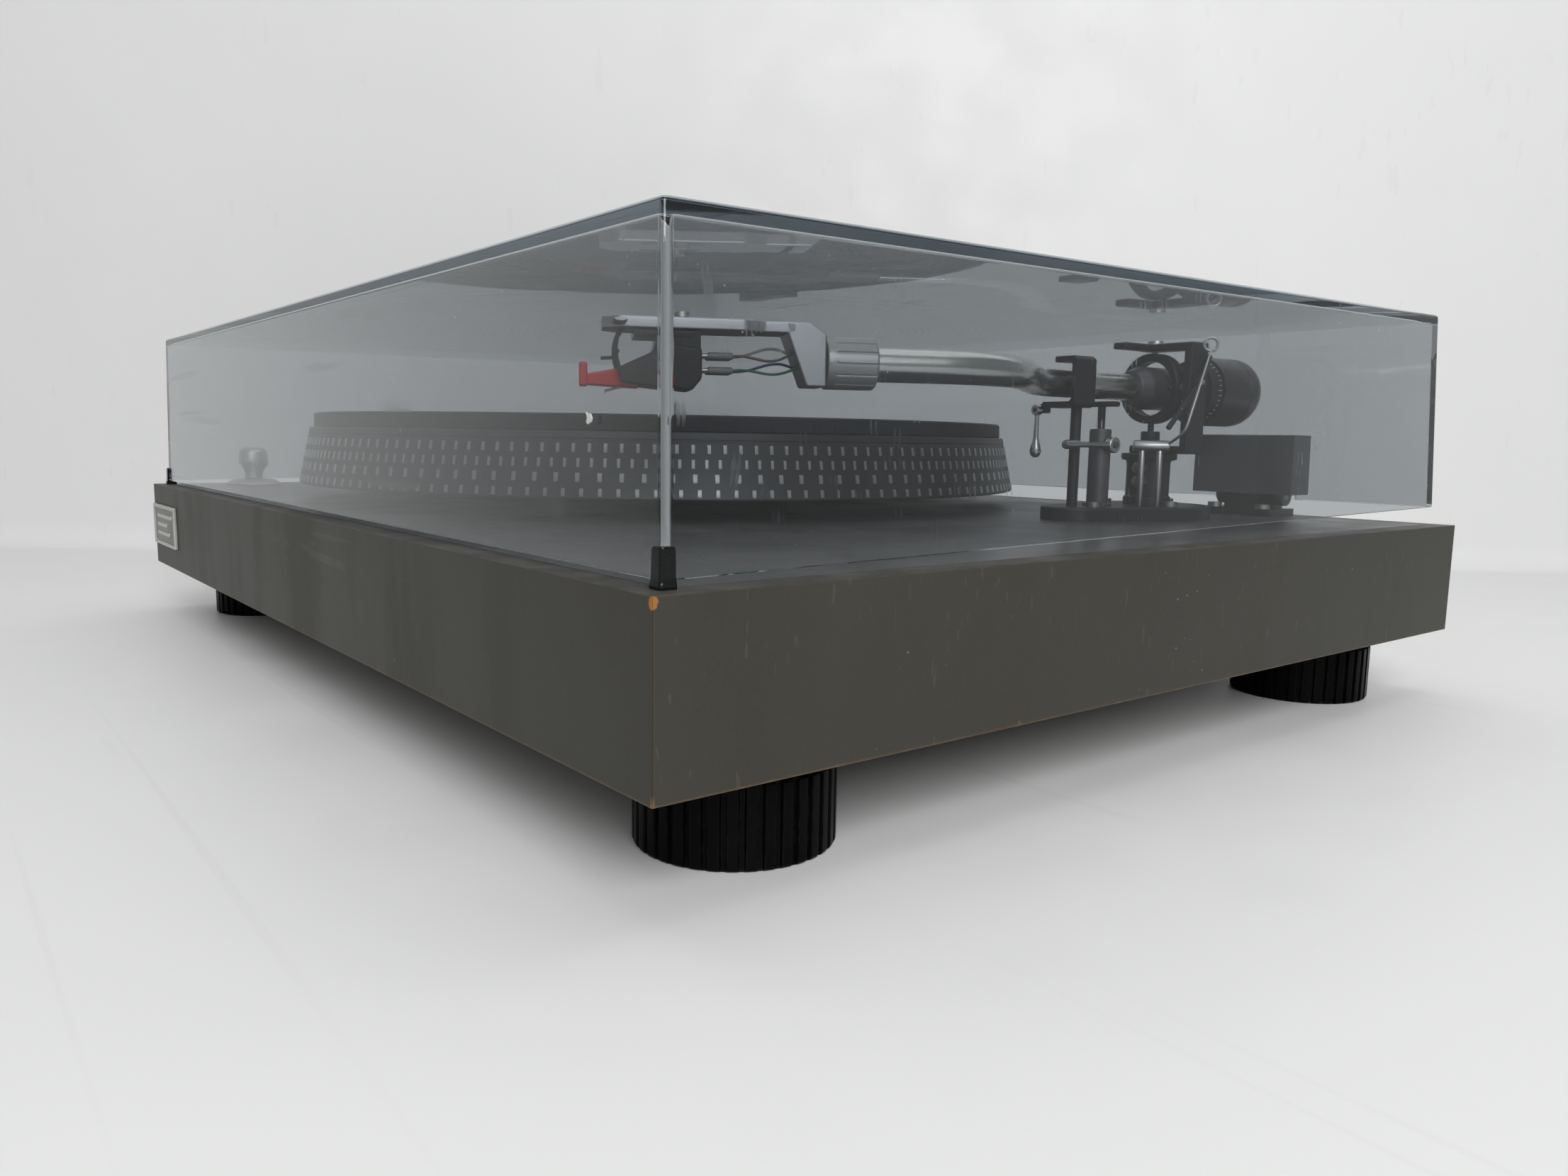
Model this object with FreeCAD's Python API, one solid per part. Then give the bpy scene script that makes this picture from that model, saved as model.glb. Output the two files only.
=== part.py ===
import FreeCAD, Part
import math
import os

# Turntable record player, millimetres.
# Frame: origin on the floor under the middle of the plinth, +X to the right, +Y to the rear, +Z up.

V = FreeCAD.Vector
UP = V(0, 0, 1)
RIGHT = V(1, 0, 0)
BACK = V(0, 1, 0)

# ---------------------------------------------------------------- driving dimensions
# Plinth: four mitred boards round a sunk deck plate and a bottom cover.
plinth_width = 481.0
plinth_depth = 356.0
plinth_height = 40.0
board_thickness = 16.0
board_rebate = 8.0
deck_thickness = 3.0
cover_thickness = 3.0
panel_gap = 0.3
corner_block_leg = 46.0

# Feet: ribbed drums that screw up and down on studs.
foot_height = 24.5
foot_radius = 24.0
foot_inset_x = 34.0
foot_inset_y = 44.0
foot_rib_count = 36
foot_rib_depth = 1.0
stud_radius = 4.0

# Running and seating clearances, on the radius.
running_gap = 0.05
free_gap = 0.3
hole_gap = 0.15

# Platter and its drive.
spindle_x = -32.0
spindle_y = 1.0
platter_bottom_radius = 156.4
platter_top_radius = 151.7
platter_lift = 7.4
platter_top = 30.0
platter_disc = 5.0
platter_bore = 146.0
mat_radius = 150.0
mat_thickness = 5.8
mat_lip = 4.0
mat_groove = 0.8
mat_bevel = 0.8
label_radius = 50.0
label_recess = 1.6
shaft_radius = 4.0
seat_radius = 3.9
pin_radius = 3.6
pin_rise = 11.0
sub_platter_radius = 98.0
sub_platter_rim = 5.0
belt_width = 5.0
belt_thickness = 0.7
pulley_radius = 9.0
motor_reach = 118.0
motor_bearing_deg = 135.0
motor_radius = 30.0
motor_height = 22.0

# Speed selector at the front left of the deck.
selector_x = -213.0
selector_y = -134.0
selector_base_radius = 13.0
selector_shaft_radius = 3.0

# Tonearm: pivot place, axis height over the deck, and the line from pivot to stylus.
pivot_x = 153.5
pivot_y = 104.5
arm_height = 50.0
arm_line_deg = 4.74
effective_length = 231.2
offset_deg = 23.3
stylus_reach = 60.0
tube_radius = 5.0
tube_wall = 0.8
front_tube_run = 58.0
rear_corner = 64.0
rear_bend = 50.0
front_bend = 40.0
collar_radius = 7.4
collar_length = 15.0
pillar_radius = 9.0
pillar_top = 25.0
arm_base_thickness = 5.0
arm_base_radius = 24.0
arm_base_nose = 12.0
ring_bore = 10.5
ring_radius = 13.5
ring_depth = 6.0
weight_radius = 13.8
weight_front = -26.5
weight_length = 28.0
dial_length = 5.0
lift_reach = 29.0
lift_gap = 0.8
lift_travel = 4.0
rest_reach = 48.5
rest_length = 11.0
pitch_drop = 1.5
pitch_rise = 2.6
plate_low = 7.5
plate_thick = 3.3

# Dust cover: a drafted box, tipped a little towards the front, on two rear hinges.
lid_inset_side = 6.0
lid_inset_front = 6.0
lid_inset_rear = 6.0
lid_height = 71.0
lid_wall = 3.0
lid_draft = 2.6
lid_front_gap = 1.6
lid_tilt_deg = 0.85
hinge_x = 164.5
hinge_inset = 12.5
hinge_z = 8.5
hinge_pin_radius = 2.0
hinge_cap_width = 43.0
hinge_cap_height = 24.0
hinge_cap_low = 9.0
hinge_cap_reach = 11.0
hinge_foot_width = 31.0
hinge_foot_thickness = 3.0
hinge_knuckle_radius = 3.5
hinge_knuckle_half = 11.0
hinge_ear_radius = 4.5
bumper_wall = 1.6
bumper_height = 6.6

# Badge and rear sockets.
badge_width = 50.0
badge_height = 20.0
badge_stand = 1.6
inlet_stand = 1.6
socket_bay_x = 60.0
socket_bay_width = 92.0
socket_bay_height = 24.0
inlet_x = -150.0

# ---------------------------------------------------------------- worked-out sizes
deck_top = foot_height + plinth_height
deck_under = deck_top - deck_thickness
half_width = plinth_width / 2
half_depth = plinth_depth / 2
cavity_x = half_width - board_thickness
cavity_y = half_depth - board_thickness
deck_half_x = cavity_x + board_rebate
deck_half_y = cavity_y + board_rebate
cover_top = foot_height + cover_thickness
arm_z = deck_top + arm_height
mat_z = deck_top + platter_top
mat_top = mat_z + mat_thickness
label_floor = mat_top - label_recess
platter_under = mat_z - platter_disc


# ---------------------------------------------------------------- shape helpers
def box(x0, x1, y0, y1, z0, z1):
    """A box between low and high corners."""
    return Part.makeBox(x1 - x0, y1 - y0, z1 - z0, V(x0, y0, z0))


def disc(x, y, z0, z1, radius):
    """An upright cylinder from z0 to z1."""
    return Part.makeCylinder(radius, z1 - z0, V(x, y, z0), UP)


def rod(start, end, radius):
    """A round bar between two points."""
    axis = end.sub(start)
    return Part.makeCylinder(radius, axis.Length, start, axis)


def washer(x, y, z0, z1, outer, inner):
    """An upright ring."""
    return disc(x, y, z0, z1, outer).cut(disc(x, y, z0, z1, inner))


def prism(points, z0, z1):
    """A straight prism over a list of (x, y) corners."""
    corners = [V(x, y, z0) for x, y in points]
    face = Part.Face(Part.makePolygon(corners + corners[:1]))
    return face.extrude(V(0, 0, z1 - z0))


def side_prism(points, y0, y1):
    """A prism along Y over a list of (x, z) corners."""
    corners = [V(x, y0, z) for x, z in points]
    face = Part.Face(Part.makePolygon(corners + corners[:1]))
    return face.extrude(V(0, y1 - y0, 0))


def turned(points, x=0.0, y=0.0):
    """A solid of revolution about the upright axis through x, y, from (radius, z) corners."""
    corners = [V(x + r, y, z) for r, z in points]
    face = Part.Face(Part.makePolygon(corners + corners[:1]))
    return face.revolve(V(x, y, 0), UP, 360)


def lathe_along_x(points):
    """A solid of revolution about the X axis, from (x, radius) corners."""
    corners = [V(x, 0, r) for x, r in points]
    face = Part.Face(Part.makePolygon(corners + corners[:1]))
    return face.revolve(V(0, 0, 0), RIGHT, 360)


def slot_plate(x0, r0, x1, r1, z0, z1):
    """A plate whose outline wraps two circles on the X axis."""
    lean = math.acos((r0 - r1) / (x1 - x0))
    c = math.cos(lean)
    s = math.sin(lean)
    web = prism([(x0 + r0 * c, -r0 * s), (x1 + r1 * c, -r1 * s),
                 (x1 + r1 * c, r1 * s), (x0 + r0 * c, r0 * s)], z0, z1)
    return disc(x0, 0, z0, z1, r0).fuse([web, disc(x1, 0, z0, z1, r1)]).removeSplitter()


def group(shapes):
    """Several separate solids as one node."""
    return Part.makeCompound(shapes)


def spaced(count, start_deg=0.0):
    """Evenly spaced angles round a circle, in radians."""
    return [math.radians(start_deg + 360.0 * i / count) for i in range(count)]


def screw(x, y, seat, length, shank, head, head_height):
    """A slotted cheese-head screw whose head sits on the given seat height."""
    body = disc(x, y, seat - length, seat, shank).fuse(disc(x, y, seat, seat + head_height, head))
    slot_depth = 0.5 * head_height
    slot_half = 0.4
    slot = box(x - head, x + head, y - slot_half, y + slot_half, seat + head_height - slot_depth,
               seat + head_height + 1)
    return body.cut(slot)


def on_arm(shape):
    """From the arm's own frame (X forward to the stylus, Y outward, origin at the pivot) to the model's."""
    turn = FreeCAD.Rotation(UP, -(90.0 + arm_line_deg))
    placed = shape.copy()
    placed.Placement = FreeCAD.Placement(V(pivot_x, pivot_y, arm_z), turn).multiply(placed.Placement)
    return placed


def on_shell(shape):
    """From the headshell's frame (X forward, origin at the collar's front) to the model's."""
    turn = FreeCAD.Rotation(UP, -offset_deg)
    placed = shape.copy()
    placed.Placement = FreeCAD.Placement(collar_front, turn).multiply(placed.Placement)
    return on_arm(placed)


def on_lid(shape):
    """From the cover's untilted frame to the model's, tipped about its front lower edge."""
    placed = shape.copy()
    pivot = V(0, -half_depth + lid_inset_front, deck_top + lid_front_gap)
    tip = FreeCAD.Placement(V(0, 0, 0), FreeCAD.Rotation(RIGHT, lid_tilt_deg), pivot)
    placed.Placement = tip.multiply(placed.Placement)
    return placed


offset = math.radians(offset_deg)
shell_axis = V(math.cos(offset), -math.sin(offset), 0)
collar_front = V(effective_length, 0, 0).sub(V(shell_axis).multiply(stylus_reach))

nodes = {}

# ---------------------------------------------------------------- plinth boards
deck_pocket = box(-deck_half_x, deck_half_x, -deck_half_y, deck_half_y, deck_under, deck_top + 1)
cover_pocket = box(-deck_half_x, deck_half_x, -deck_half_y, deck_half_y, foot_height - 1, cover_top)
outer = [(-half_width, -half_depth), (half_width, -half_depth), (half_width, half_depth),
         (-half_width, half_depth)]
inner = [(-cavity_x, -cavity_y), (cavity_x, -cavity_y), (cavity_x, cavity_y), (-cavity_x, cavity_y)]


def board(first):
    """One mitred board, rebated above for the deck and below for the cover."""
    second = (first + 1) % 4
    outline = [outer[first], outer[second], inner[second], inner[first]]
    return prism(outline, foot_height, deck_top).cut(deck_pocket).cut(cover_pocket)


socket_mid = deck_top - 21.0
socket_low = socket_mid - socket_bay_height / 2
socket_high = socket_mid + socket_bay_height / 2
socket_bay = box(socket_bay_x - socket_bay_width / 2, socket_bay_x + socket_bay_width / 2,
                 cavity_y - 1, half_depth + 1, socket_low, socket_high)
inlet_half_width = 13.0
inlet_half_height = 9.0
inlet_bay = box(inlet_x - inlet_half_width, inlet_x + inlet_half_width, cavity_y - 1, half_depth + 1,
                socket_mid - inlet_half_height, socket_mid + inlet_half_height)
nodes["front_board"] = board(0)
nodes["right_board"] = board(1)
nodes["rear_board"] = board(2).cut(socket_bay).cut(inlet_bay)
nodes["left_board"] = board(3)

foot_places = {
    "foot_front_left": (-half_width + foot_inset_x, -half_depth + foot_inset_y),
    "foot_front_right": (half_width - foot_inset_x, -half_depth + foot_inset_y),
    "foot_rear_left": (-half_width + foot_inset_x, half_depth - foot_inset_y),
    "foot_rear_right": (half_width - foot_inset_x, half_depth - foot_inset_y),
}

block_height = 14.0


def corner_block(x, y):
    """A cut-cornered wood block glued in a corner of the frame, bored for its foot's stud."""
    sx = math.copysign(1, x)
    sy = math.copysign(1, y)
    leg = corner_block_leg
    chamfer = leg / 4
    outline = [(sx * cavity_x, sy * cavity_y), (sx * (cavity_x - leg), sy * cavity_y),
               (sx * (cavity_x - leg), sy * (cavity_y - leg + chamfer)),
               (sx * (cavity_x - leg + chamfer), sy * (cavity_y - leg)),
               (sx * cavity_x, sy * (cavity_y - leg))]
    block = prism(outline, cover_top, cover_top + block_height)
    return block.cut(disc(x, y, cover_top, cover_top + block_height, stud_radius))


nodes["corner_blocks"] = group([corner_block(x, y) for x, y in foot_places.values()])

# ---------------------------------------------------------------- feet
stud_head_radius = 9.0
foot_bore_depth = 16.0


def foot(x, y):
    """A drum with upright ribs, a plain ring above them and a blind bore for the stud."""
    ring_low = foot_height - 4.5
    ring_high = foot_height - 0.8
    chamfer = 1.0
    core_radius = foot_radius - foot_rib_depth
    core = turned([(0, 0), (core_radius - chamfer, 0), (core_radius, chamfer), (core_radius, ring_low),
                   (core_radius - 0.6, ring_low), (core_radius - 0.6, ring_high - chamfer),
                   (core_radius - 1.6, ring_high), (0, ring_high)], x, y)
    rib_width = math.pi * foot_radius / foot_rib_count
    rib = box(core_radius - 1.0, foot_radius, -rib_width / 2, rib_width / 2, chamfer, ring_low)
    ribs = []
    for angle in spaced(foot_rib_count):
        one = rib.copy()
        one.rotate(V(0, 0, 0), UP, math.degrees(angle))
        one.translate(V(x, y, 0))
        ribs.append(one)
    body = core.fuse(ribs)
    return body.cut(disc(x, y, ring_high - foot_bore_depth, ring_high + 1, stud_radius + running_gap))


def foot_stud(x, y):
    """The stud: a shank down into the foot, a flange under the cover and a shank up into the block."""
    shank = disc(x, y, foot_height - foot_bore_depth + 2, cover_top + block_height, stud_radius)
    flange = disc(x, y, foot_height - 0.4, foot_height, stud_head_radius)
    return shank.fuse(flange)


for name, (x, y) in foot_places.items():
    nodes[name] = foot(x, y)
nodes["foot_studs"] = group([foot_stud(x, y) for x, y in foot_places.values()])

# ---------------------------------------------------------------- bottom cover
cover = box(-deck_half_x + panel_gap, deck_half_x - panel_gap, -deck_half_y + panel_gap,
            deck_half_y - panel_gap, foot_height, cover_top)
for x, y in foot_places.values():
    cover = cover.cut(disc(x, y, foot_height - 1, cover_top + 1, stud_radius + hole_gap))
vent_length = 60.0
vent_width = 4.0
vent_pitch = 12.0
for i in range(6):
    vent_y = 40.0 + i * vent_pitch
    cover = cover.cut(box(-vent_length / 2, vent_length / 2, vent_y, vent_y + vent_width,
                          foot_height - 1, cover_top + 1))
edge = board_rebate / 2
cover_screw_places = [(sx * (deck_half_x - edge), y) for sx in (-1, 1) for y in (-cavity_y / 3,
                                                                                 cavity_y / 3)]
cover_screw_places += [(x, sy * (deck_half_y - edge)) for sy in (-1, 1) for x in (-cavity_x / 2,
                                                                                  cavity_x / 2)]
wood_screw_radius = 1.5
wood_screw_head = 3.2
wood_screw_length = 12.0


def wood_screw(x, y):
    """A pan-head wood screw driven up through the bottom cover."""
    shank = disc(x, y, foot_height, foot_height + wood_screw_length, wood_screw_radius)
    return shank.fuse(disc(x, y, foot_height - 1.2, foot_height, wood_screw_head))


screws = []
for x, y in cover_screw_places:
    drill = disc(x, y, foot_height - 1, foot_height + wood_screw_length, wood_screw_radius)
    cover = cover.cut(drill)
    for board_name in ("front_board", "rear_board", "left_board", "right_board"):
        nodes[board_name] = nodes[board_name].cut(drill)
    screws.append(wood_screw(x, y))
nodes["bottom_cover"] = cover
nodes["bottom_screws"] = group(screws)

# ---------------------------------------------------------------- badge
badge_left = -half_width + 5.0
badge_low = foot_height + 10.5
plate = box(badge_left, badge_left + badge_width, -half_depth - badge_stand, -half_depth, badge_low,
            badge_low + badge_height)
upright = [e for e in plate.Edges if abs(e.Vertexes[0].Point.y - e.Vertexes[1].Point.y) > 1]
nodes["badge_plate"] = plate.makeFillet(1.2, upright)

# ---------------------------------------------------------------- deck plate
motor_angle = math.radians(motor_bearing_deg)
motor_x = spindle_x + motor_reach * math.cos(motor_angle)
motor_y = spindle_y + motor_reach * math.sin(motor_angle)
housing_radius = 12.0
motor_neck = pulley_radius + 2.0
small_shank = 1.5
small_head = 2.8
small_head_height = 1.8
bearing_flange = 28.0
bearing_screws = [(spindle_x + 21 * math.cos(a), spindle_y + 21 * math.sin(a)) for a in spaced(3, 90)]
motor_screws = [(motor_x + 22 * math.cos(a), motor_y + 22 * math.sin(a)) for a in spaced(3, 30)]
hinge_y = half_depth - hinge_inset
hinge_screws = [(sx * (hinge_x + d), hinge_y - 11.5) for sx in (-1, 1) for d in (-10.5, 10.5)]
arm_turn = FreeCAD.Rotation(UP, -(90.0 + arm_line_deg))


def arm_point(x, y):
    """Plan position in the model of a point given in the arm's frame."""
    place = arm_turn.multVec(V(x, y, 0))
    return (pivot_x + place.x, pivot_y + place.y)


base_screw_circle = 16.0
base_screws = [(base_screw_circle * math.cos(a), base_screw_circle * math.sin(a)) for a in spaced(3, 190)]
base_screws.append((38.0, 6.0))
arm_screws = [arm_point(x, y) for x, y in base_screws]
deck = box(-deck_half_x + panel_gap, deck_half_x - panel_gap, -deck_half_y + panel_gap,
           deck_half_y - panel_gap, deck_under, deck_top)
deck_holes = [disc(spindle_x, spindle_y, deck_under - 1, deck_top + 1, housing_radius + hole_gap),
              disc(motor_x, motor_y, deck_under - 1, deck_top + 1, motor_neck),
              disc(selector_x, selector_y, deck_under - 1, deck_top + 1, selector_shaft_radius + 1),
              disc(pivot_x, pivot_y, deck_under - 1, deck_top + 1, pillar_radius - 1)]
for x, y in bearing_screws + motor_screws + hinge_screws + arm_screws:
    deck_holes.append(disc(x, y, deck_under - 1, deck_top + 1, small_shank + hole_gap))
nodes["deck_plate"] = deck.cut(group(deck_holes))

# ---------------------------------------------------------------- main bearing
bush_radius = 6.0
bearing_bottom = cover_top + 3.0
thrust_pad = 3.0
housing_top = deck_top + 6.0
flange_low = deck_under - 4.0
housing = turned([(0, bearing_bottom), (housing_radius, bearing_bottom), (housing_radius, flange_low),
                  (bearing_flange, flange_low), (bearing_flange, deck_under), (housing_radius, deck_under),
                  (housing_radius, housing_top), (0, housing_top)], spindle_x, spindle_y)
housing = housing.cut(disc(spindle_x, spindle_y, bearing_bottom + thrust_pad, housing_top + 1, bush_radius))
for x, y in bearing_screws:
    housing = housing.cut(disc(x, y, flange_low - 1, deck_under + 1, small_shank))
nodes["bearing_housing"] = housing
bush_length = 9.0
bush_spans = [(bearing_bottom + thrust_pad, bearing_bottom + thrust_pad + bush_length),
              (housing_top - bush_length, housing_top)]
nodes["bearing_bushes"] = group([washer(spindle_x, spindle_y, z0, z1, bush_radius, shaft_radius)
                                 for z0, z1 in bush_spans])

# ---------------------------------------------------------------- spindle, sub-platter, platter, mat
collar_seat = shaft_radius + 1.0
web_thickness = 4.0
web_low = platter_under - web_thickness
rim_low = web_low - 9.0
tail_radius = shaft_radius - running_gap
pin_top = mat_top + pin_rise
pin_shoulder = pin_top - 3.0
nodes["spindle"] = turned([(0, bearing_bottom + thrust_pad),
                           (tail_radius - 1.5, bearing_bottom + thrust_pad),
                           (tail_radius, bearing_bottom + thrust_pad + 1.5), (tail_radius, web_low),
                           (collar_seat, web_low), (collar_seat, platter_under),
                           (seat_radius, platter_under), (seat_radius, label_floor),
                           (pin_radius, label_floor), (pin_radius, pin_shoulder),
                           (pin_radius - 1.4, pin_top), (0, pin_top)], spindle_x, spindle_y)
sub_platter = turned([(collar_seat, web_low), (sub_platter_radius - sub_platter_rim, web_low),
                      (sub_platter_radius - sub_platter_rim, rim_low), (sub_platter_radius, rim_low),
                      (sub_platter_radius, platter_under), (collar_seat, platter_under)],
                     spindle_x, spindle_y)
window_radius = 14.0
window_circle = 56.0
for angle in spaced(6):
    sub_platter = sub_platter.cut(disc(spindle_x + window_circle * math.cos(angle),
                                       spindle_y + window_circle * math.sin(angle),
                                       web_low - 1, platter_under + 1, window_radius))
nodes["sub_platter"] = sub_platter
platter_low = deck_top + platter_lift
nodes["platter"] = turned([(seat_radius, platter_under), (platter_bore, platter_under),
                           (platter_bore, platter_low), (platter_bottom_radius - 0.5, platter_low),
                           (platter_bottom_radius, platter_low + 0.5), (platter_top_radius, mat_z - 0.4),
                           (platter_top_radius - 0.4, mat_z), (seat_radius, mat_z)], spindle_x, spindle_y)
nodes["platter_mat"] = turned([(seat_radius, mat_z), (mat_radius, mat_z), (mat_radius, mat_top - mat_bevel),
                               (mat_radius - mat_bevel, mat_top), (mat_radius - mat_lip, mat_top),
                               (mat_radius - mat_lip - mat_groove, mat_top - mat_groove),
                               (label_radius + mat_groove, mat_top - mat_groove),
                               (label_radius, label_floor),
                               (seat_radius, label_floor)], spindle_x, spindle_y)

# ---------------------------------------------------------------- motor, pulley and belt
belt_low = rim_low + 2.0
belt_high = belt_low + belt_width


def belt_loop(grow, z0, z1):
    """The area inside a belt that runs a set distance off the sub-platter and the pulley."""
    big = sub_platter_radius + grow
    small = pulley_radius + grow
    loop = slot_plate(0, big, motor_reach, small, z0, z1)
    loop.rotate(V(0, 0, 0), UP, motor_bearing_deg)
    loop.translate(V(spindle_x, spindle_y, 0))
    return loop


nodes["drive_belt"] = belt_loop(free_gap + belt_thickness, belt_low, belt_high).cut(
    belt_loop(free_gap, belt_low, belt_high))
motor_top = deck_under
motor_shaft_radius = 2.0
pulley_low = belt_low - 1.5
pulley_flange = 1.0
pulley = turned([(0, pulley_low), (pulley_radius + pulley_flange, pulley_low),
                 (pulley_radius + pulley_flange, pulley_low + 0.8), (pulley_radius, pulley_low + 0.8),
                 (pulley_radius, belt_high + 0.7), (pulley_radius + pulley_flange, belt_high + 0.7),
                 (pulley_radius + pulley_flange, belt_high + 1.5), (0, belt_high + 1.5)], motor_x, motor_y)
shaft_low = motor_top - motor_height + 4.0
nodes["motor_pulley"] = pulley.fuse(disc(motor_x, motor_y, shaft_low, pulley_low,
                                         motor_shaft_radius - running_gap))
motor_can = disc(motor_x, motor_y, motor_top - motor_height, motor_top, motor_radius)
motor_can = motor_can.makeChamfer(1.0, [motor_can.Edges[0], motor_can.Edges[2]])
motor_can = motor_can.cut(disc(motor_x, motor_y, shaft_low - 0.2, motor_top + 1, motor_shaft_radius))
for x, y in motor_screws:
    motor_can = motor_can.cut(disc(x, y, motor_top - 9, motor_top + 1, small_shank))
nodes["motor"] = motor_can

# ---------------------------------------------------------------- electrics inside the plinth
spacer_height = 5.0
spacer_radius = 3.0
circuit_thickness = 1.6
circuit_inset = 4.0
board_z = cover_top + spacer_height
circuit_top = board_z + circuit_thickness
board_x0 = 20.0
board_x1 = 110.0
board_y0 = -140.0
board_y1 = -85.0
circuit = box(board_x0, board_x1, board_y0, board_y1, board_z, circuit_top)
for x in (board_x0 + circuit_inset, board_x1 - circuit_inset):
    for y in (board_y0 + circuit_inset, board_y1 - circuit_inset):
        circuit = circuit.fuse(disc(x, y, cover_top, board_z, spacer_radius))
capacitor_pitch = 14.0
capacitor_radius = 4.5
capacitor_height = 13.4
for i in range(3):
    circuit = circuit.fuse(disc(board_x0 + 16 + capacitor_pitch * i, board_y0 + 16, circuit_top,
                                circuit_top + capacitor_height, capacitor_radius))
chip_pitch = 16.0
chip_length = 10.0
chip_width = 7.0
chip_height = 3.9
chip_y = board_y1 - 20.0
for i in range(4):
    chip_x = board_x0 + 14 + chip_pitch * i
    circuit = circuit.fuse(box(chip_x, chip_x + chip_length, chip_y, chip_y + chip_width, circuit_top,
                               circuit_top + chip_height))
fin_count = 5
fin_pitch = 3.5
fin_width = 1.5
fin_height = 15.4
sink_base = 1.4
sink_x = board_x1 - 24.0
sink_y0 = board_y0 + 10.0
sink_y1 = board_y0 + 30.0
for i in range(fin_count):
    fin_x = sink_x + fin_pitch * i
    circuit = circuit.fuse(box(fin_x, fin_x + fin_width, sink_y0, sink_y1, circuit_top,
                               circuit_top + fin_height))
circuit = circuit.fuse(box(sink_x, sink_x + fin_pitch * (fin_count - 1) + fin_width, sink_y0, sink_y1,
                           circuit_top, circuit_top + sink_base))
nodes["control_board"] = circuit.removeSplitter()

core_x = -150.0
core_y = 20.0
core_half_x = 24.0
core_half_y = 20.0
core_height = 28.0
limb_half = 7.0
coil_half = 15.0
coil_half_y = 26.0
coil_low = cover_top + 6.0
coil_high = cover_top + 22.0
core = box(core_x - core_half_x, core_x + core_half_x, core_y - core_half_y, core_y + core_half_y,
           cover_top,
           cover_top + core_height)
for x0, x1 in ((-coil_half, -limb_half), (limb_half, coil_half)):
    core = core.cut(box(core_x + x0, core_x + x1, core_y - coil_half_y, core_y + coil_half_y, coil_low,
                        coil_high))
coil = box(core_x - coil_half, core_x + coil_half, core_y - coil_half_y, core_y + coil_half_y, coil_low,
           coil_high)
coil = coil.cut(box(core_x - limb_half, core_x + limb_half, core_y - core_half_y, core_y + core_half_y,
                    coil_low, coil_high))
nodes["transformer"] = core.fuse(coil)

# ---------------------------------------------------------------- rear sockets
panel_y = cavity_y + 2.0
panel_thickness = 2.0
phono_radius = 4.1
phono_pitch = 16.0
phono_places = [socket_bay_x + 8 + phono_pitch * i for i in range(2)]
earth_x = socket_bay_x - 26.0
socket_panel = box(socket_bay_x - socket_bay_width / 2 + panel_gap,
                   socket_bay_x + socket_bay_width / 2 - panel_gap,
                   panel_y, panel_y + panel_thickness, socket_low + panel_gap, socket_high - panel_gap)
panel_flange = box(socket_bay_x - socket_bay_width / 2 - 5, socket_bay_x + socket_bay_width / 2 + 5,
                   cavity_y - panel_thickness, cavity_y, socket_low - 3, socket_high + 3)
panel_block = box(socket_bay_x - socket_bay_width / 2 + panel_gap,
                  socket_bay_x + socket_bay_width / 2 - panel_gap,
                  cavity_y, panel_y, socket_low + panel_gap, socket_high - panel_gap)
socket_panel = socket_panel.fuse([panel_flange, panel_block]).removeSplitter()
phono_shells = []
for x in phono_places:
    tail = Part.makeCylinder(phono_radius + 1.5, 8, V(x, panel_y - 6, socket_mid), BACK)
    socket_panel = socket_panel.cut(tail)
    mouth = Part.makeCylinder(phono_radius, 11, V(x, panel_y + panel_thickness, socket_mid), BACK)
    mouth = mouth.cut(Part.makeCylinder(1.7, 9, V(x, panel_y + panel_thickness + 3, socket_mid), BACK))
    shell = Part.makeCylinder(phono_radius + 1.5, 8, V(x, panel_y - 6, socket_mid), BACK)
    phono_shells.append(shell.fuse(mouth).removeSplitter())
earth_hole = Part.makeCylinder(2.0, 12, V(earth_x, panel_y - 8, socket_mid), BACK)
socket_panel = socket_panel.cut(earth_hole)
nodes["socket_plate"] = socket_panel
nodes["phono_sockets"] = group(phono_shells)
earth = Part.makeCylinder(2.0, 18, V(earth_x, panel_y - 8, socket_mid), BACK)
earth = earth.fuse(Part.makeCylinder(4.5, 4.5, V(earth_x, panel_y + panel_thickness + 1.5, socket_mid),
                                     BACK))
earth = earth.fuse(Part.makeCylinder(3.2, 1.5, V(earth_x, panel_y + panel_thickness, socket_mid), BACK))
nodes["earth_terminal"] = earth.removeSplitter()

inlet = box(inlet_x - inlet_half_width + panel_gap, inlet_x + inlet_half_width - panel_gap, cavity_y - 14,
            half_depth, socket_mid - inlet_half_height + panel_gap,
            socket_mid + inlet_half_height - panel_gap)
inlet_lip = 4.0
inlet = inlet.fuse(box(inlet_x - inlet_half_width - inlet_lip, inlet_x + inlet_half_width + inlet_lip,
                       half_depth,
                       half_depth + inlet_stand, socket_mid - inlet_half_height - inlet_lip,
                       socket_mid + inlet_half_height + inlet_lip))
inlet_mouth_half = 8.6
inlet_mouth_high = 4.2
inlet_depth = 12.0
inlet_floor = half_depth + inlet_stand - inlet_depth
inlet = inlet.cut(box(inlet_x - inlet_mouth_half, inlet_x + inlet_mouth_half, inlet_floor,
                      half_depth + inlet_stand + 1, socket_mid - inlet_mouth_high,
                      socket_mid + inlet_mouth_high))
for dx in (-4.3, 4.3):
    inlet = inlet.fuse(Part.makeCylinder(1.2, inlet_depth - 2, V(inlet_x + dx, inlet_floor, socket_mid),
                                         BACK))
nodes["mains_inlet"] = inlet

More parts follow.
